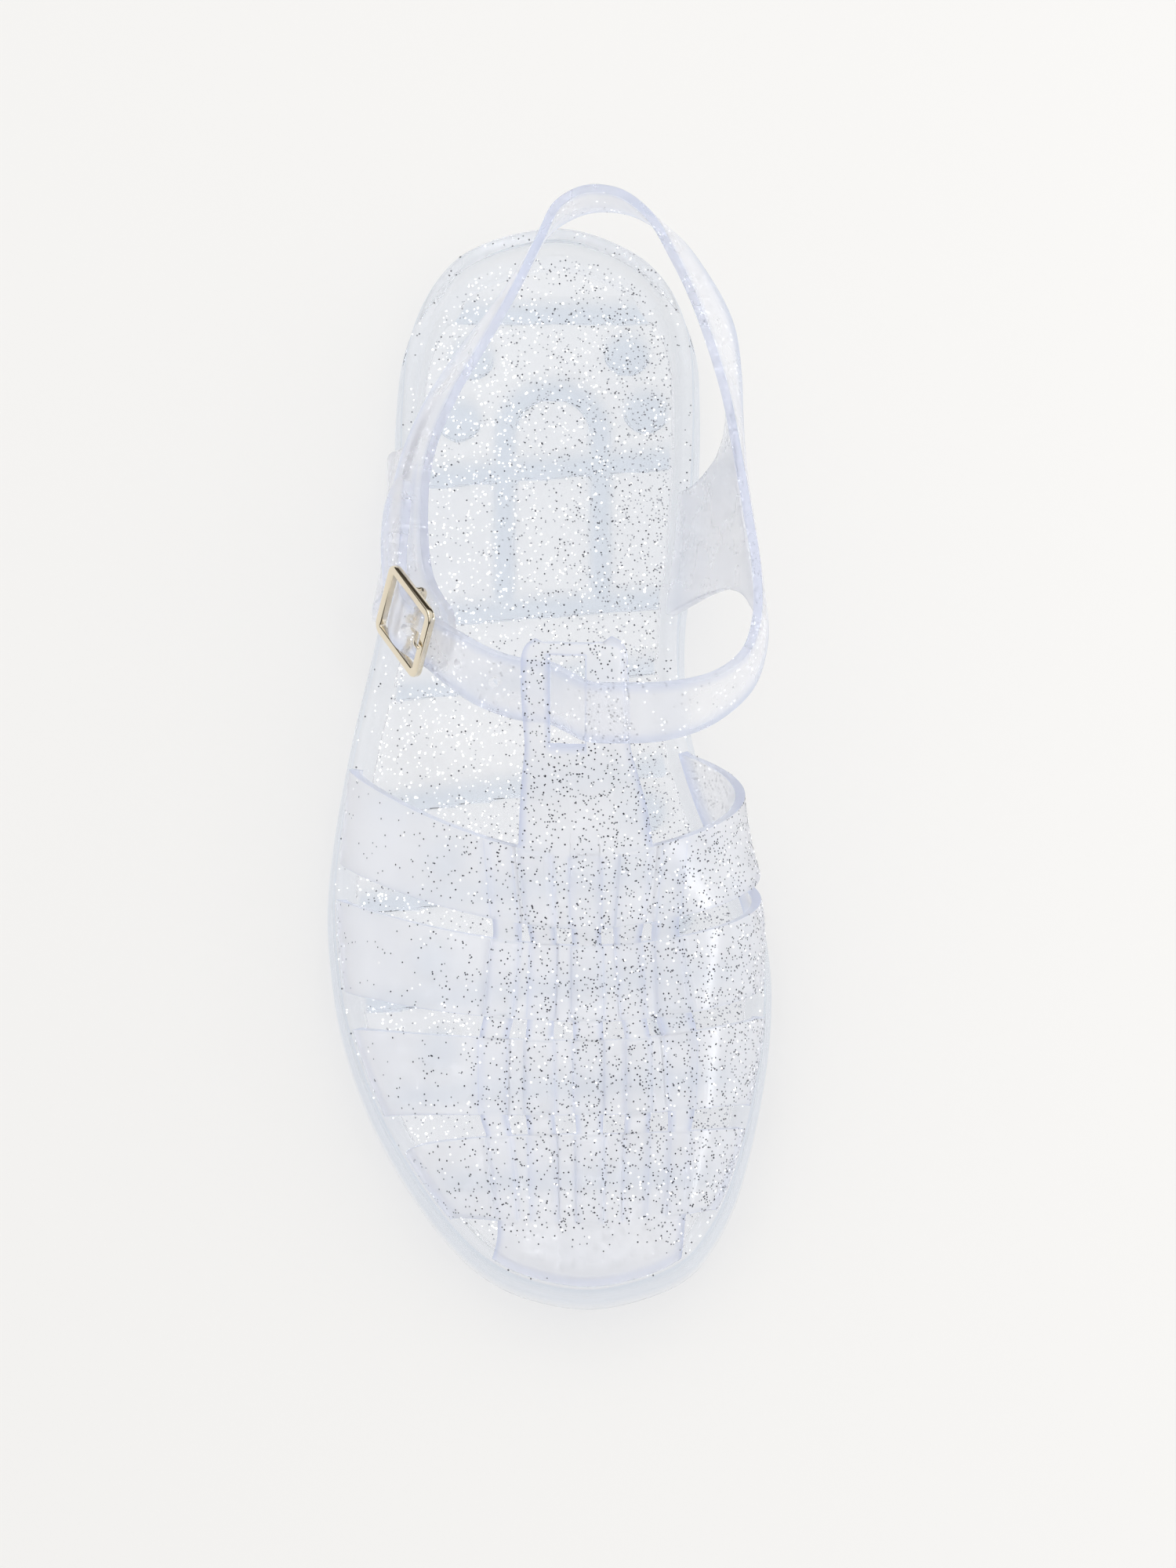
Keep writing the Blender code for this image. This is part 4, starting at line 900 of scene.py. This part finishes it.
def bake(obj):
    """The object with its modifiers' result as its own mesh."""
    graph = bpy.context.evaluated_depsgraph_get()
    mesh = bpy.data.meshes.new_from_object(obj.evaluated_get(graph))
    obj.modifiers.clear()
    obj.data = mesh
    return obj


def sheet_piece(name, sheet):
    """A sheet with its rounded edges baked in."""
    return bake(soften(piece(name, world(sheet[0]), sheet[1], SHARP_SHEET), STRAP_BEVEL, SHARP_SHEET))


def edge_nearness(obj):
    """1 on the ribbon's edges and 0 away from them: a bell of the distance to the two edge curves."""
    count = len(obj.data.vertices)
    flat = np.empty(count * 3)
    obj.data.vertices.foreach_get("co", flat)
    top, low = strap_edges(np.linspace(0.0, len(STRAP) - 1.0, 700))
    lines = world(np.vstack([top, low]))
    share = np.empty(count)
    for first in range(0, count, 4000):
        part = flat.reshape(-1, 3)[first : first + 4000]
        near = np.linalg.norm(part[:, None] - lines[None], axis=2).min(axis=1)
        share[first : first + 4000] = np.exp(-((near / (EDGE_REACH * MM)) ** 4))
    return share


def cutter(name, mesh):
    """A hole's shape as an object."""
    return piece(name, world(mesh[0]), mesh[1], CUTTER_SHARP)


def build_strap():
    """Ribbon and posts joined, holes cut, the result baked and its edges marked."""
    strap = sheet_piece("clear_ankle_strap", ribbon_sheet())
    tools = [(sheet_piece(f"post_{k}", post_sheet(*grid)), "UNION") for k, grid in enumerate(POST_GRIDS)]
    for k, (row, share) in enumerate(STRAP_HOLES):
        at = row + share
        grid, directions = ribbon_grid(at + np.array([-HOLE_NEAR, 0.0, HOLE_NEAR]), 3)
        heading = grid[2, 1] - grid[0, 1]
        hole = capsule(grid[1, 1], heading, directions[1, 1], HOLE_DIAMETER, HOLE_DIAMETER, CUT_DEPTH)
        tools.append((cutter(f"hole_{k}", hole), "DIFFERENCE"))
    centre = at_buckle((sum(PRONG_SLOT) / 2, 0.0, PRONG_SLOT_LIFT))
    long = PRONG_SLOT[1] - PRONG_SLOT[0]
    slot = capsule(centre, buckle_along, buckle_out, long, HOLE_DIAMETER, CUT_DEPTH + GAP)
    tools.append((cutter("prong_hole", slot), "DIFFERENCE"))
    for tool, operation in tools:
        modifier = strap.modifiers.new(tool.name, "BOOLEAN")
        modifier.operation, modifier.object, modifier.solver = operation, tool, "EXACT"
    bake(strap)
    for tool, _ in tools:
        bpy.data.objects.remove(tool, do_unlink=True)
    strap.data.shade_smooth()
    strap.data.set_sharp_from_angle(angle=math.radians(SHARP_STRAP))
    mark_thick(strap, edge_nearness(strap))
    return strap


clear_strap = build_strap()
print("the ankle strap has", len(clear_strap.data.polygons), "faces")

# %% [markdown]
# The buckle is cast zinc with a pale champagne-gold plating: a square frame with soft edges, a
# centre bar that the tab wraps, and a prong of round wire that hooks over the bar. A frame is a
# small rounded section carried round a rounded rectangle, which gives it true corners and no
# seam, and a wire is a circle carried along a cubic.

# %% Metal
FRAME_LENGTH = 20.0
FRAME_HEIGHT = 18.6
FRAME_BAR = 2.2
FRAME_THICK = 1.8
FRAME_LIFT = 5.1
FRAME_CORNER = 1.5
FRAME_SQUARENESS = 0.45
CENTRE_BAR_RADIUS = 0.85
CENTRE_BAR_LIFT = 2.2
CENTRE_BAR_REACH = 8.2
CENTRE_BAR_BEND = 1.2
PRONG_RADIUS = 0.5
# (along, out)
PRONG = (
    (-1.7, 2.1),
    (-1.5, 3.2),
    (-0.7, 3.8),
    (0.8, 3.9),
    (2.8, 4.0),
    (4.8, 4.6),
    (6.6, 5.9),
    (8.2, 6.7),
    (9.9, 6.7),
)


def rounded_rectangle(length, height, corner, per_corner):
    """Points and outward directions of a rectangle whose corners are quarter circles."""
    angle = np.linspace(0.0, math.pi / 2, per_corner)
    turns = np.concatenate([angle + k * math.pi / 2 for k in range(4)])
    outward = np.column_stack([np.cos(turns), np.sin(turns)])
    signs = np.repeat([(1, 1), (-1, 1), (-1, -1), (1, -1)], per_corner, axis=0)
    centres = signs * (length / 2 - corner, height / 2 - corner)
    return centres + outward * corner, outward


def build_frame():
    """A superellipse section carried round the rounded rectangle of the frame's middle line."""
    half_bar, half_thick = FRAME_BAR / 2, FRAME_THICK / 2
    length, height = FRAME_LENGTH - FRAME_BAR, FRAME_HEIGHT - FRAME_BAR
    path, outward = rounded_rectangle(length, height, FRAME_CORNER, 9)
    angle = np.linspace(0.0, 2 * math.pi, 29)[:-1]
    across = half_bar * np.sign(np.cos(angle)) * np.abs(np.cos(angle)) ** FRAME_SQUARENESS
    lift = half_thick * np.sign(np.sin(angle)) * np.abs(np.sin(angle)) ** FRAME_SQUARENESS
    flat = path[:, None] + outward[:, None] * across[None, :, None]
    high = np.broadcast_to(FRAME_LIFT + lift, flat.shape[:2])
    points = at_buckle(np.concatenate([flat, high[..., None]], axis=2).reshape(-1, 3))
    return points, (grid_faces(len(path) + 1, len(angle), True) % len(points)).tolist()


def wire(path, radius, sides, tip=0.0):
    """A circle carried along a path, with rounded ends: the radius follows a quarter circle at each end."""
    run = lengths(path)
    ends = radius * (1 - np.cos(np.linspace(0.0, math.pi / 2, 5)))
    spots = np.unique(np.concatenate([ends, np.linspace(radius, run[-1] - radius, 60), run[-1] - ends]))
    middle = at_lengths(path, run, spots)
    along = unit(np.gradient(middle, axis=0))
    side = np.cross(along, buckle_out)
    stalled = np.linalg.norm(side, axis=1) < 0.2
    side[stalled] = np.cross(along[stalled], buckle_along)
    side = unit(side)
    over = np.cross(side, along)
    near = np.minimum(spots, run[-1] - spots) / radius
    size = radius * np.sqrt(np.clip(1 - np.clip(1 - near, 0, 1) ** 2, 0.01, 1.0))
    size *= 1.0 - tip * np.clip((spots - run[-1] * 0.7) / (run[-1] * 0.3), 0.0, 1.0)
    angle = np.linspace(0.0, 2 * math.pi, sides + 1)[:-1]
    ring = side[:, None] * np.cos(angle)[None, :, None] + over[:, None] * np.sin(angle)[None, :, None]
    points = middle[:, None] + ring * size[:, None, None]
    rows = len(middle)
    faces = grid_faces(rows, sides, around=True).tolist()
    faces += [list(range(sides)), list(range(rows * sides - 1, (rows - 1) * sides - 1, -1))]
    return points.reshape(-1, 3), faces


def fine_curve(points, count):
    """A cubic through points, spaced by their length."""
    run = lengths(points)
    return smooth(run, points, np.linspace(0.0, run[-1], count))


def centre_bar():
    """The bar's wire: up into the frame at each end, and low in the middle where the tab wraps it."""
    reach, high, low = CENTRE_BAR_REACH, FRAME_LIFT, CENTRE_BAR_LIFT
    turn, bend = np.linspace(0.0, math.pi / 2, 8)[:, None], CENTRE_BAR_BEND
    left = np.hstack([0 * turn, -reach + bend * (1 - np.cos(turn)), low + bend * (1 - np.sin(turn))])
    right = left[::-1] * (1, -1, 1)
    path = np.vstack([[(0.0, -reach, high)], left, right, [(0.0, reach, high)]])
    return wire(at_buckle(path), CENTRE_BAR_RADIUS, 20)


(ring_points, ring_faces), (bar_points, bar_faces) = build_frame(), centre_bar()
frame_faces = ring_faces + [[corner + len(ring_points) for corner in face] for face in bar_faces]
gold_frame = piece("gold_buckle_frame", world(np.vstack([ring_points, bar_points])), frame_faces, SHARP_METAL)
prong_path = np.array([(along, 0.0, out) for along, out in PRONG])
prong_points, prong_faces = wire(at_buckle(fine_curve(prong_path, 80)), PRONG_RADIUS, 18, 0.3)
gold_prong = piece("gold_buckle_prong", world(prong_points), prong_faces, SHARP_METAL)
print("the buckle has", len(gold_frame.data.polygons) + len(gold_prong.data.polygons), "faces")

# %% [markdown]
# Glitter is thousands of hexagonal foil flakes that lie at all angles inside the wall. From the
# camera some face a light and flash white, and others mirror the dark side of the room and look
# grey. A particle system would scatter instances, which are not meshes of their own. Placing flakes
# by seeded arrays is plainer: pick a random cell of a surface, a random depth in the wall and a
# random tilt. Each flake is a thin closed hexagonal plate, so it reads as foil from both sides.

# %% Flakes
FLAKE_THICK = 0.03
PROUD = 0.02
# Smallest and largest share of a flake's size, and the sole's flakes' least distance from its side
FLAKE_SHARES = (0.75, 1.15)
FLAKE_INSET = 6.6
# Insets and depths between which the rim's flakes lie
RIM_INSETS = (1.9, 4.9)
RIM_DEPTHS = (0.05, 0.6)
rng = np.random.default_rng(11)


def flakes(name, centres, facing, size, tilt):
    """Hexagonal plates: a ring of six on each side of a centre, turned by a random spin and tilt."""
    count = len(centres)
    n = unit(facing + rng.normal(0.0, tilt, (count, 3)))
    u = unit(np.cross(n, rng.normal(0.0, 1.0, (count, 3))))
    v = np.cross(n, u)
    radius = (size / 2 * rng.uniform(*FLAKE_SHARES, count))[:, None, None]
    angle = np.arange(6) * math.pi / 3
    ring = (u[:, None] * np.cos(angle)[None, :, None] + v[:, None] * np.sin(angle)[None, :, None]) * radius
    lift = n[:, None] * FLAKE_THICK / 2
    points = np.stack([centres[:, None] + ring + lift, centres[:, None] + ring - lift], axis=1)
    base = (np.arange(count) * 12)[:, None]
    top = base + np.arange(6)[None, :]
    low = base + 6 + np.arange(6)[None, ::-1]
    k = np.arange(6)
    sides = np.stack([k, k + 6, (k + 1) % 6 + 6, (k + 1) % 6], axis=-1)
    sides = (base[:, :, None] + sides[None]).reshape(-1, 4)
    mesh = bpy.data.meshes.new(name)
    faces = top.tolist() + low.tolist() + sides.tolist()
    mesh.from_pydata(world(points.reshape(-1, 3)).tolist(), [], faces)
    return new_object(name, mesh)


def corners_of(grid, kept):
    """The four corner values of every kept cell."""
    return np.stack([grid[:-1, :-1][kept], grid[:-1, 1:][kept], grid[1:, :-1][kept], grid[1:, 1:][kept]])


def on_grid(grid, directions, skin, kept, count, deep=0.0, weight=None):
    """Random places in a wall: a cell by its area, a blend of its corners, a depth from 0 to deep."""
    a, b, c, _ = cells = corners_of(grid, kept)
    area = np.linalg.norm(np.cross(b - a, c - a), axis=1)
    if weight is not None:
        area = area * weight(a)
    pick = rng.choice(len(a), count, p=area / area.sum())
    u, v = rng.uniform(size=(2, count, 1))
    blend = np.stack([(1 - u) * (1 - v), u * (1 - v), (1 - u) * v, u * v])
    n = unit((corners_of(directions, kept)[:, pick] * blend).sum(axis=0))
    height = (corners_of(skin[..., None], kept)[:, pick] * blend).sum(axis=0)
    height = height + PROUD - rng.uniform(0.0, 1.0, (count, 1)) * deep
    return (cells[:, pick] * blend).sum(axis=0) + n * height, n


def in_sole(count, weight, low, high):
    """Random places under the footbed: (x, t) inside the inset outline, and a depth below the surface."""
    ring = inset(outline(240), FLAKE_INSET)
    half = len(ring) // 2
    lateral, medial = ring[: half + 1], np.vstack([ring[half:], ring[:1]])[::-1]
    x, t = rng.uniform(-50.0, 50.0, count * 8), rng.uniform(1.5, 255.5, count * 8)
    good = (x > read_off(lateral, t, 1, 0)) & (x < read_off(medial, t, 1, 0))
    good &= rng.uniform(size=len(x)) < weight(x, t)
    x, t = x[good][:count], t[good][:count]
    z = level(BED, t) - rng.uniform(low, high, len(x))
    return np.column_stack([x, t, z]), np.tile([0.0, 0.0, 1.0], (len(x), 1))


def on_rim(count):
    """Random places along the sole's rim: between two inset outlines, just under the rim's height."""
    ring = outline(960)
    pick = rng.integers(0, len(ring), count)
    share = rng.uniform(size=(count, 1))
    outer, inner = (inset(ring, distance)[pick] for distance in RIM_INSETS)
    flat = outer * (1 - share) + inner * share
    z = level(RIM, flat[:, 1]) - rng.uniform(*RIM_DEPTHS, count)
    return np.column_stack([flat, z]), np.tile([0.0, 0.0, 1.0], (count, 1))


def lateral_more(x, _):
    """More of the bright flakes on the lateral side."""
    return np.clip(0.55 - x / 110.0, 0.15, 1.0)


def medial_more(x, _):
    """More of the dark flakes on the medial side."""
    return np.clip(0.35 + x / 70.0, 0.12, 1.0)


def over_cage(points):
    """Few flakes on the lateral side and on the toe cap's front, more on the ridge and the medial side."""
    across = np.clip((points[:, 0] + 38.0) / 45.0, 0.10, 1.0)
    return across * np.clip((CAP_FROSTED_FROM - points[:, 1]) / 6.0, 0.02, 1.0)


CAP_FROSTED_FROM = 249.0
grid, grid_n, skin_out, _, keep = cage
glitter = []
# Each name's first word picks its foil: grey and dark flakes carry painted shade, bright and fine ones a
# painted glint
for name, spots, size, tilt in (
    ("bright_flakes_sole", in_sole(1500, lateral_more, 0.2, 2.6), 0.58, 0.35),
    ("fine_flakes_sole", in_sole(2300, lateral_more, 0.2, 3.0), 0.37, 0.35),
    ("grey_flakes_sole", in_sole(4200, medial_more, 0.3, 3.4), 0.40, 0.35),
    ("dark_flakes_sole", in_sole(2200, medial_more, 0.05, 0.8), 0.41, 0.25),
    ("dark_flakes_rim", on_rim(150), 0.42, 0.30),
    ("bright_flakes_rim", on_rim(130), 0.42, 0.30),
    ("dark_flakes_cage", on_grid(grid, grid_n, skin_out, keep, 3000, 0.0, over_cage), 0.39, 0.06),
    ("grey_flakes_cage", on_grid(grid, grid_n, skin_out, keep, 1600, 0.0, over_cage), 0.38, 0.06),
    ("bright_flakes_cage", on_grid(grid, grid_n, skin_out, keep, 650, 0.0, over_cage), 0.47, 0.06),
):
    glitter.append(flakes(name, *spots, size, tilt))
ribbon, ribbon_n = ribbon_grid(np.linspace(0.4, len(STRAP) - 1.4, 300), STRAP_COLUMNS + 1)
half_ribbon = np.full(ribbon.shape[:2], STRAP_THICK / 2)
whole_ribbon = np.ones((len(ribbon) - 1, STRAP_COLUMNS), bool)
for name, count, size in (("grey_flakes_strap", 420, 0.38), ("bright_flakes_strap", 420, 0.5)):
    spots = on_grid(ribbon, ribbon_n, half_ribbon, whole_ribbon, count, 0.4)
    glitter.append(flakes(name, *spots, size, 0.1))
sides = []
whole_post = np.ones((POST_ROWS - 1, POST_COLUMNS), bool)
for post, post_n, _ in POST_GRIDS:
    skin = np.full(post.shape[:2], POST_HEAD_THICK / 2)
    sides.append(on_grid(post, post_n, skin, whole_post, 480, 0.3))
spots = [np.vstack([a, b]) for a, b in zip(*sides)]
glitter.append(flakes("grey_flakes_posts", *spots, 0.38, 0.1))
print(sum(len(obj.data.vertices) for obj in glitter) // 12, "flakes")

# %% [markdown]
# The PVC needs four things. It lets light through and is a little milky, so it is a Principled
# shader with high transmission over a pale base. Its skin shines, which is the coat's work. It
# takes a little red and green out of the light on the way, which turns long paths lavender: that
# is a Volume Absorption. And it must not throw a black shadow, because a path tracer finds few of
# the paths that light takes through it, so for shadow rays it becomes a pale filter. Real PVC
# bends light more than this. The lower value keeps the edges as pale as a studio tent makes them,
# without the dozens of inner bounces that this takes. The cage and the strap are frosted, so what
# lies far behind them blurs, and what lies in their skin stays sharp. One node group gives every
# clear piece its clouds and its moulding ripples, from Object coordinates, and a deeper tint
# where its mesh says that the plastic is thick: over a rib, and along an edge.

# %% Node helpers and the shared group
COLOR, FLOAT, VECTOR = "NodeSocketColor", "NodeSocketFloat", "NodeSocketVector"


def put(node, values):
    """Sets a node's input sockets by their names."""
    for socket, value in values.items():
        node.inputs[socket].default_value = value


def new_node(tree, kind, values=(), **settings):
    """A node of a kind with its settings, and then its input sockets' values."""
    node = tree.nodes.new("ShaderNode" + kind)
    for name, value in settings.items():
        setattr(node, name, value)
    put(node, dict(values))
    return node


def connect(tree, *wires):
    """Joins sockets; a wire is (node, output, node, input)."""
    for a, output, b, socket in wires:
        tree.links.new(a.outputs[output], b.inputs[socket])


def new_group(name, inputs, outputs):
    """A node group with its sockets, and its two end nodes. A tuple is a colour and a number a float."""
    group = bpy.data.node_groups.new(name, "ShaderNodeTree")
    for socket, value in inputs.items():
        kind = COLOR if isinstance(value, tuple) else FLOAT
        group.interface.new_socket(socket, in_out="INPUT", socket_type=kind).default_value = value
    for socket, kind in outputs.items():
        group.interface.new_socket(socket, in_out="OUTPUT", socket_type=kind)
    return group, group.nodes.new("NodeGroupInput"), group.nodes.new("NodeGroupOutput")


def new_material(name, values):
    """A material with some sockets of its Principled shader set, its tree and that shader."""
    made = bpy.data.materials.new(name)
    made.use_nodes = True
    shader = made.node_tree.nodes["Principled BSDF"]
    put(shader, values)
    return made, made.node_tree, shader


def moulded_group():
    """Moulded PVC's tint with soft clouds, deeper where it is thick, its roughness and its rippled normal."""
    inputs = {
        "Pale": (0.988, 0.988, 0.99, 1.0),
        "Deep": (0.95, 0.956, 0.975, 1.0),
        "Thick": (0.75, 0.79, 0.925, 1.0),
        "Cloud Scale": 60.0,
        "Ripple Scale": 220.0,
        "Ripple": 0.1,
        "Gloss": 0.03,
        "Haze": 0.07,
    }
    outputs = {"Color": COLOR, "Roughness": FLOAT, "Normal": VECTOR}
    group, inside, outside = new_group("MouldedPvc", inputs, outputs)
    place = new_node(group, "TexCoord")
    cloud = new_node(group, "TexNoise", {"Detail": 3.0})
    ripple = new_node(group, "TexNoise", {"Detail": 2.0})
    tint = new_node(group, "Mix", data_type="RGBA")
    gloss = new_node(group, "MapRange", {"From Min": 0.3, "From Max": 0.7})
    bump = new_node(group, "Bump", {"Distance": 0.0004})
    thick = new_node(group, "Attribute", attribute_name="thick")
    deepen = new_node(group, "Mix", data_type="RGBA")
    connect(
        group,
        (place, "Object", cloud, "Vector"),
        (place, "Object", ripple, "Vector"),
        (inside, "Cloud Scale", cloud, "Scale"),
        (inside, "Ripple Scale", ripple, "Scale"),
        (cloud, "Fac", tint, "Factor"),
        (inside, "Pale", tint, "A"),
        (inside, "Deep", tint, "B"),
        (cloud, "Fac", gloss, "Value"),
        (inside, "Gloss", gloss, "To Min"),
        (inside, "Haze", gloss, "To Max"),
        (ripple, "Fac", bump, "Height"),
        (inside, "Ripple", bump, "Strength"),
        (thick, "Fac", deepen, "Factor"),
        (tint, "Result", deepen, "A"),
        (inside, "Thick", deepen, "B"),
        (deepen, "Result", outside, "Color"),
        (gloss, "Result", outside, "Roughness"),
        (bump, "Normal", outside, "Normal"),
    )
    return group


pvc_group = moulded_group()
print("the group has", len(pvc_group.nodes), "nodes")

# %% Clear PVC
SOLE_ABSORBS = (0.894, 0.918, 0.950, 1.0)
EDGE_ABSORBS = (0.865, 0.880, 0.970, 1.0)
SHADOW_COLOUR = (0.975, 0.977, 0.983, 1.0)


def clear_pvc(name, transmission, bend, absorbs, density, values):
    """Principled with transmission, a gloss coat, absorption inside, and a pale filter for shadow rays."""
    fixed = {"IOR": bend, "Transmission Weight": transmission, "Coat Weight": 0.5, "Coat Roughness": 0.12}
    made, tree, shader = new_material(name, fixed)
    look = new_node(tree, "Group", values, node_tree=pvc_group)
    path = new_node(tree, "LightPath")
    either = new_node(tree, "Math", operation="MAXIMUM")
    pale = new_node(tree, "BsdfTransparent", {"Color": SHADOW_COLOUR})
    mix = new_node(tree, "MixShader")
    absorb = new_node(tree, "VolumeAbsorption", {"Color": absorbs, "Density": density})
    output = tree.nodes["Material Output"]
    connect(
        tree,
        (look, "Color", shader, "Base Color"),
        (look, "Roughness", shader, "Roughness"),
        (look, "Normal", shader, "Normal"),
        (path, "Is Shadow Ray", either, 0),
        (path, "Is Diffuse Ray", either, 1),
        (either, "Value", mix, 0),
        (shader, "BSDF", mix, 1),
        (pale, "BSDF", mix, 2),
        (mix, "Shader", output, "Surface"),
        (absorb, "Volume", output, "Volume"),
    )
    return made


CLOUDY = {"Deep": (0.925, 0.935, 0.965, 1.0), "Cloud Scale": 75.0}
FROSTED = CLOUDY | {"Ripple": 0.04, "Gloss": 0.28, "Haze": 0.38}
SOFTER = FROSTED | {"Gloss": 0.25, "Haze": 0.31, "Thick": (0.80, 0.835, 0.935, 1.0)}
UNDERSIDE = {"Ripple": 0.04, "Ripple Scale": 160.0, "Thick": (0.755, 0.825, 0.915, 1.0)}
sole_pvc = clear_pvc("sole_pvc", 0.90, 1.06, SOLE_ABSORBS, 42.0, UNDERSIDE)
cage_pvc = clear_pvc("cage_pvc", 0.80, 1.17, EDGE_ABSORBS, 42.0, FROSTED)
strap_pvc = clear_pvc("strap_pvc", 0.80, 1.13, EDGE_ABSORBS, 50.0, SOFTER)
print("three clear materials share one group")

# %% [markdown]
# Foil is a mirror, and a mirror shows the room. The bright flakes are given a painted glint, a touch
# of their own light for the flash that a studio lamp gives them, and the grey and dark ones a darker
# metal: painted shade for the dark side of the room that they mirror.

# %% Foil and plated metal
def polish_group():
    """Roughness between Low and High by a fine noise: no polish is quite even."""
    inputs = {"Low": 0.1, "High": 0.2, "Scale": 900.0}
    group, inside, outside = new_group("UnevenPolish", inputs, {"Roughness": FLOAT})
    place, wear, spread = (new_node(group, kind) for kind in ("TexCoord", "TexNoise", "MapRange"))
    connect(
        group,
        (place, "Object", wear, "Vector"),
        (inside, "Scale", wear, "Scale"),
        (wear, "Fac", spread, "Value"),
        (inside, "Low", spread, "To Min"),
        (inside, "High", spread, "To Max"),
        (spread, "Result", outside, "Roughness"),
    )
    return group


uneven_polish = polish_group()


def metal(name, colour, low, high, glow=0.0):
    """A metallic Principled material with slightly uneven polish, and for the bright foil a painted glint: a
    light of its own.
    """
    made, tree, shader = new_material(name, {"Metallic": 1.0, "Base Color": colour})
    polish = new_node(tree, "Group", {"Low": low, "High": high}, node_tree=uneven_polish)
    connect(tree, (polish, "Roughness", shader, "Roughness"))
    if glow:
        put(shader, {"Emission Color": (1.0, 1.0, 1.0, 1.0), "Emission Strength": glow})
    return made


foil = {
    # The bright foil glows: a painted glint in place of a lamp's flash, also used for the fine flakes
    "bright": metal("bright_foil", (0.97, 0.97, 0.98, 1.0), 0.25, 0.5, 0.85),
    # The grey and dark foils are the same silver foil made darker: painted shade
    "grey": metal("grey_foil", (0.33, 0.34, 0.37, 1.0), 0.3, 0.6),
    "dark": metal("dark_foil", (0.07, 0.07, 0.085, 1.0), 0.3, 0.6),
}
foil["fine"] = foil["bright"]
pale_gold = metal("pale_gold_plate", (0.84, 0.755, 0.60, 1.0), 0.05, 0.12)

# %% Finish each piece
for obj, look, slot_name, node in (
    (clear_sole, sole_pvc, "clear_pvc", "outsole"),
    (clear_cage, cage_pvc, "clear_pvc", "upper"),
    (clear_strap, strap_pvc, "clear_pvc", "ankle_strap"),
    (gold_frame, pale_gold, "pale_gold", "buckle_frame"),
    (gold_prong, pale_gold, "pale_gold", "buckle_prong"),
):
    obj.data.materials.clear()
    obj.data.materials.append(look)
    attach(obj, "root")
    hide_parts(node)
for obj in glitter:
    obj.data.materials.append(foil[obj.name.split("_")[0]])
    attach(obj, "root")

# %% [markdown]
# The photograph is a high-key studio picture: a pale floor that runs into a pale wall, soft light
# from all round, a little more from behind, a long low soft box on the medial side whose
# reflection runs down every band's flank, and a small one over the toe. The paper ends and the
# dark studio begins: only mirrors show that, so the room is dark for reflected rays alone, and
# gives the gold its brown lines. The camera is far away with a long lens, 71 degrees above the
# floor, over the toe.

# %% Floor, lights and camera
FLOOR_SIZE = 6.0
ROOM_STRENGTH = 0.80
# What the metal mirrors above the paper's edge is the dark room: full below one height in degrees, gone
# above the other
DARK_FULL, DARK_END = 18.0, 34.0
floor_mesh = bpy.data.meshes.new("floor")
half_floor = FLOOR_SIZE / 2
corners = [(half_floor * x, half_floor * y, 0) for x, y in ((-1, -1), (1, -1), (1, 1), (-1, 1))]
floor_mesh.from_pydata(corners, [], [(0, 1, 2, 3)])
floor = new_object("floor", floor_mesh)
PAPER = {"Base Color": (0.90, 0.893, 0.88, 1.0), "Roughness": 0.9, "Specular IOR Level": 0.1}
floor_mesh.materials.append(new_material("paper", PAPER)[0])


def soft_box(name, place, target, width, height, watts):
    """An area light at a place that faces a target."""
    data = bpy.data.lights.new(name, "AREA")
    data.shape = "RECTANGLE"
    data.size, data.size_y, data.energy = width, height, watts
    obj = new_object(name, data)
    obj.location = place
    obj.rotation_euler = (Vector(target) - Vector(place)).to_track_quat("-Z", "Y").to_euler()


soft_box("overhead", (0.0, 0.55, 1.5), (0.0, 0.0, 0.0), 1.4, 1.2, 5.0)
soft_box("medial_strip", (0.86, 0.0, 0.26), (0.0, 0.0, 0.03), 1.0, 0.08, 1.7)
soft_box("toe_box", (0.22, -0.36, 1.48), (0.0, -0.1, 0.03), 0.12, 0.12, 0.6)
world_light = bpy.data.worlds.new("room")
world_light.use_nodes = True
room = world_light.node_tree
sky = room.nodes["Background"]
heading = new_node(room, "TexCoord")
height = new_node(room, "SeparateXYZ")
full, end = (math.sin(math.radians(angle)) for angle in (DARK_FULL, DARK_END))
fade = {"From Min": full, "From Max": end, "To Min": 1.0, "To Max": 0.0}
edge = new_node(room, "MapRange", fade, interpolation_type="SMOOTHSTEP")
ray = new_node(room, "LightPath")
mirrored = new_node(room, "Math", operation="MULTIPLY")
seen = new_node(room, "Math", operation="MULTIPLY")
TENT = {"A": (1.0, 0.997, 0.99, 1.0), "B": (0.06, 0.05, 0.04, 1.0)}
tent = new_node(room, "Mix", TENT, data_type="RGBA")
put(sky, {"Strength": ROOM_STRENGTH})
connect(
    room,
    (heading, "Generated", height, "Vector"),
    (height, "Z", edge, "Value"),
    (edge, "Result", seen, 0),
    (ray, "Is Glossy Ray", mirrored, 0),
    (ray, "Is Reflection Ray", mirrored, 1),
    (mirrored, "Value", seen, 1),
    (seen, "Value", tent, "Factor"),
    (tent, "Result", sky, "Color"),
)
bpy.context.scene.world = world_light

AIM = (0.00884, -0.0032, 0.0)
ELEVATION = math.radians(71.0)
DISTANCE = 1.53
FOCAL_PIXELS = 8475.0
IMAGE_HEIGHT = 2000.0
SENSOR = 36.0
camera_data = bpy.data.cameras.new("camera")
camera_data.sensor_width = SENSOR
camera_data.lens = FOCAL_PIXELS / IMAGE_HEIGHT * SENSOR
camera = new_object("camera", camera_data)
back = Vector((0.0, -math.cos(ELEVATION), math.sin(ELEVATION)))
camera.location = Vector(AIM) + back * DISTANCE
camera.rotation_euler = (-back).to_track_quat("-Z", "Y").to_euler()
bpy.context.scene.camera = camera
bpy.context.scene.view_settings.view_transform = "Standard"
print("the camera's lens is", round(camera_data.lens, 1), "mm")
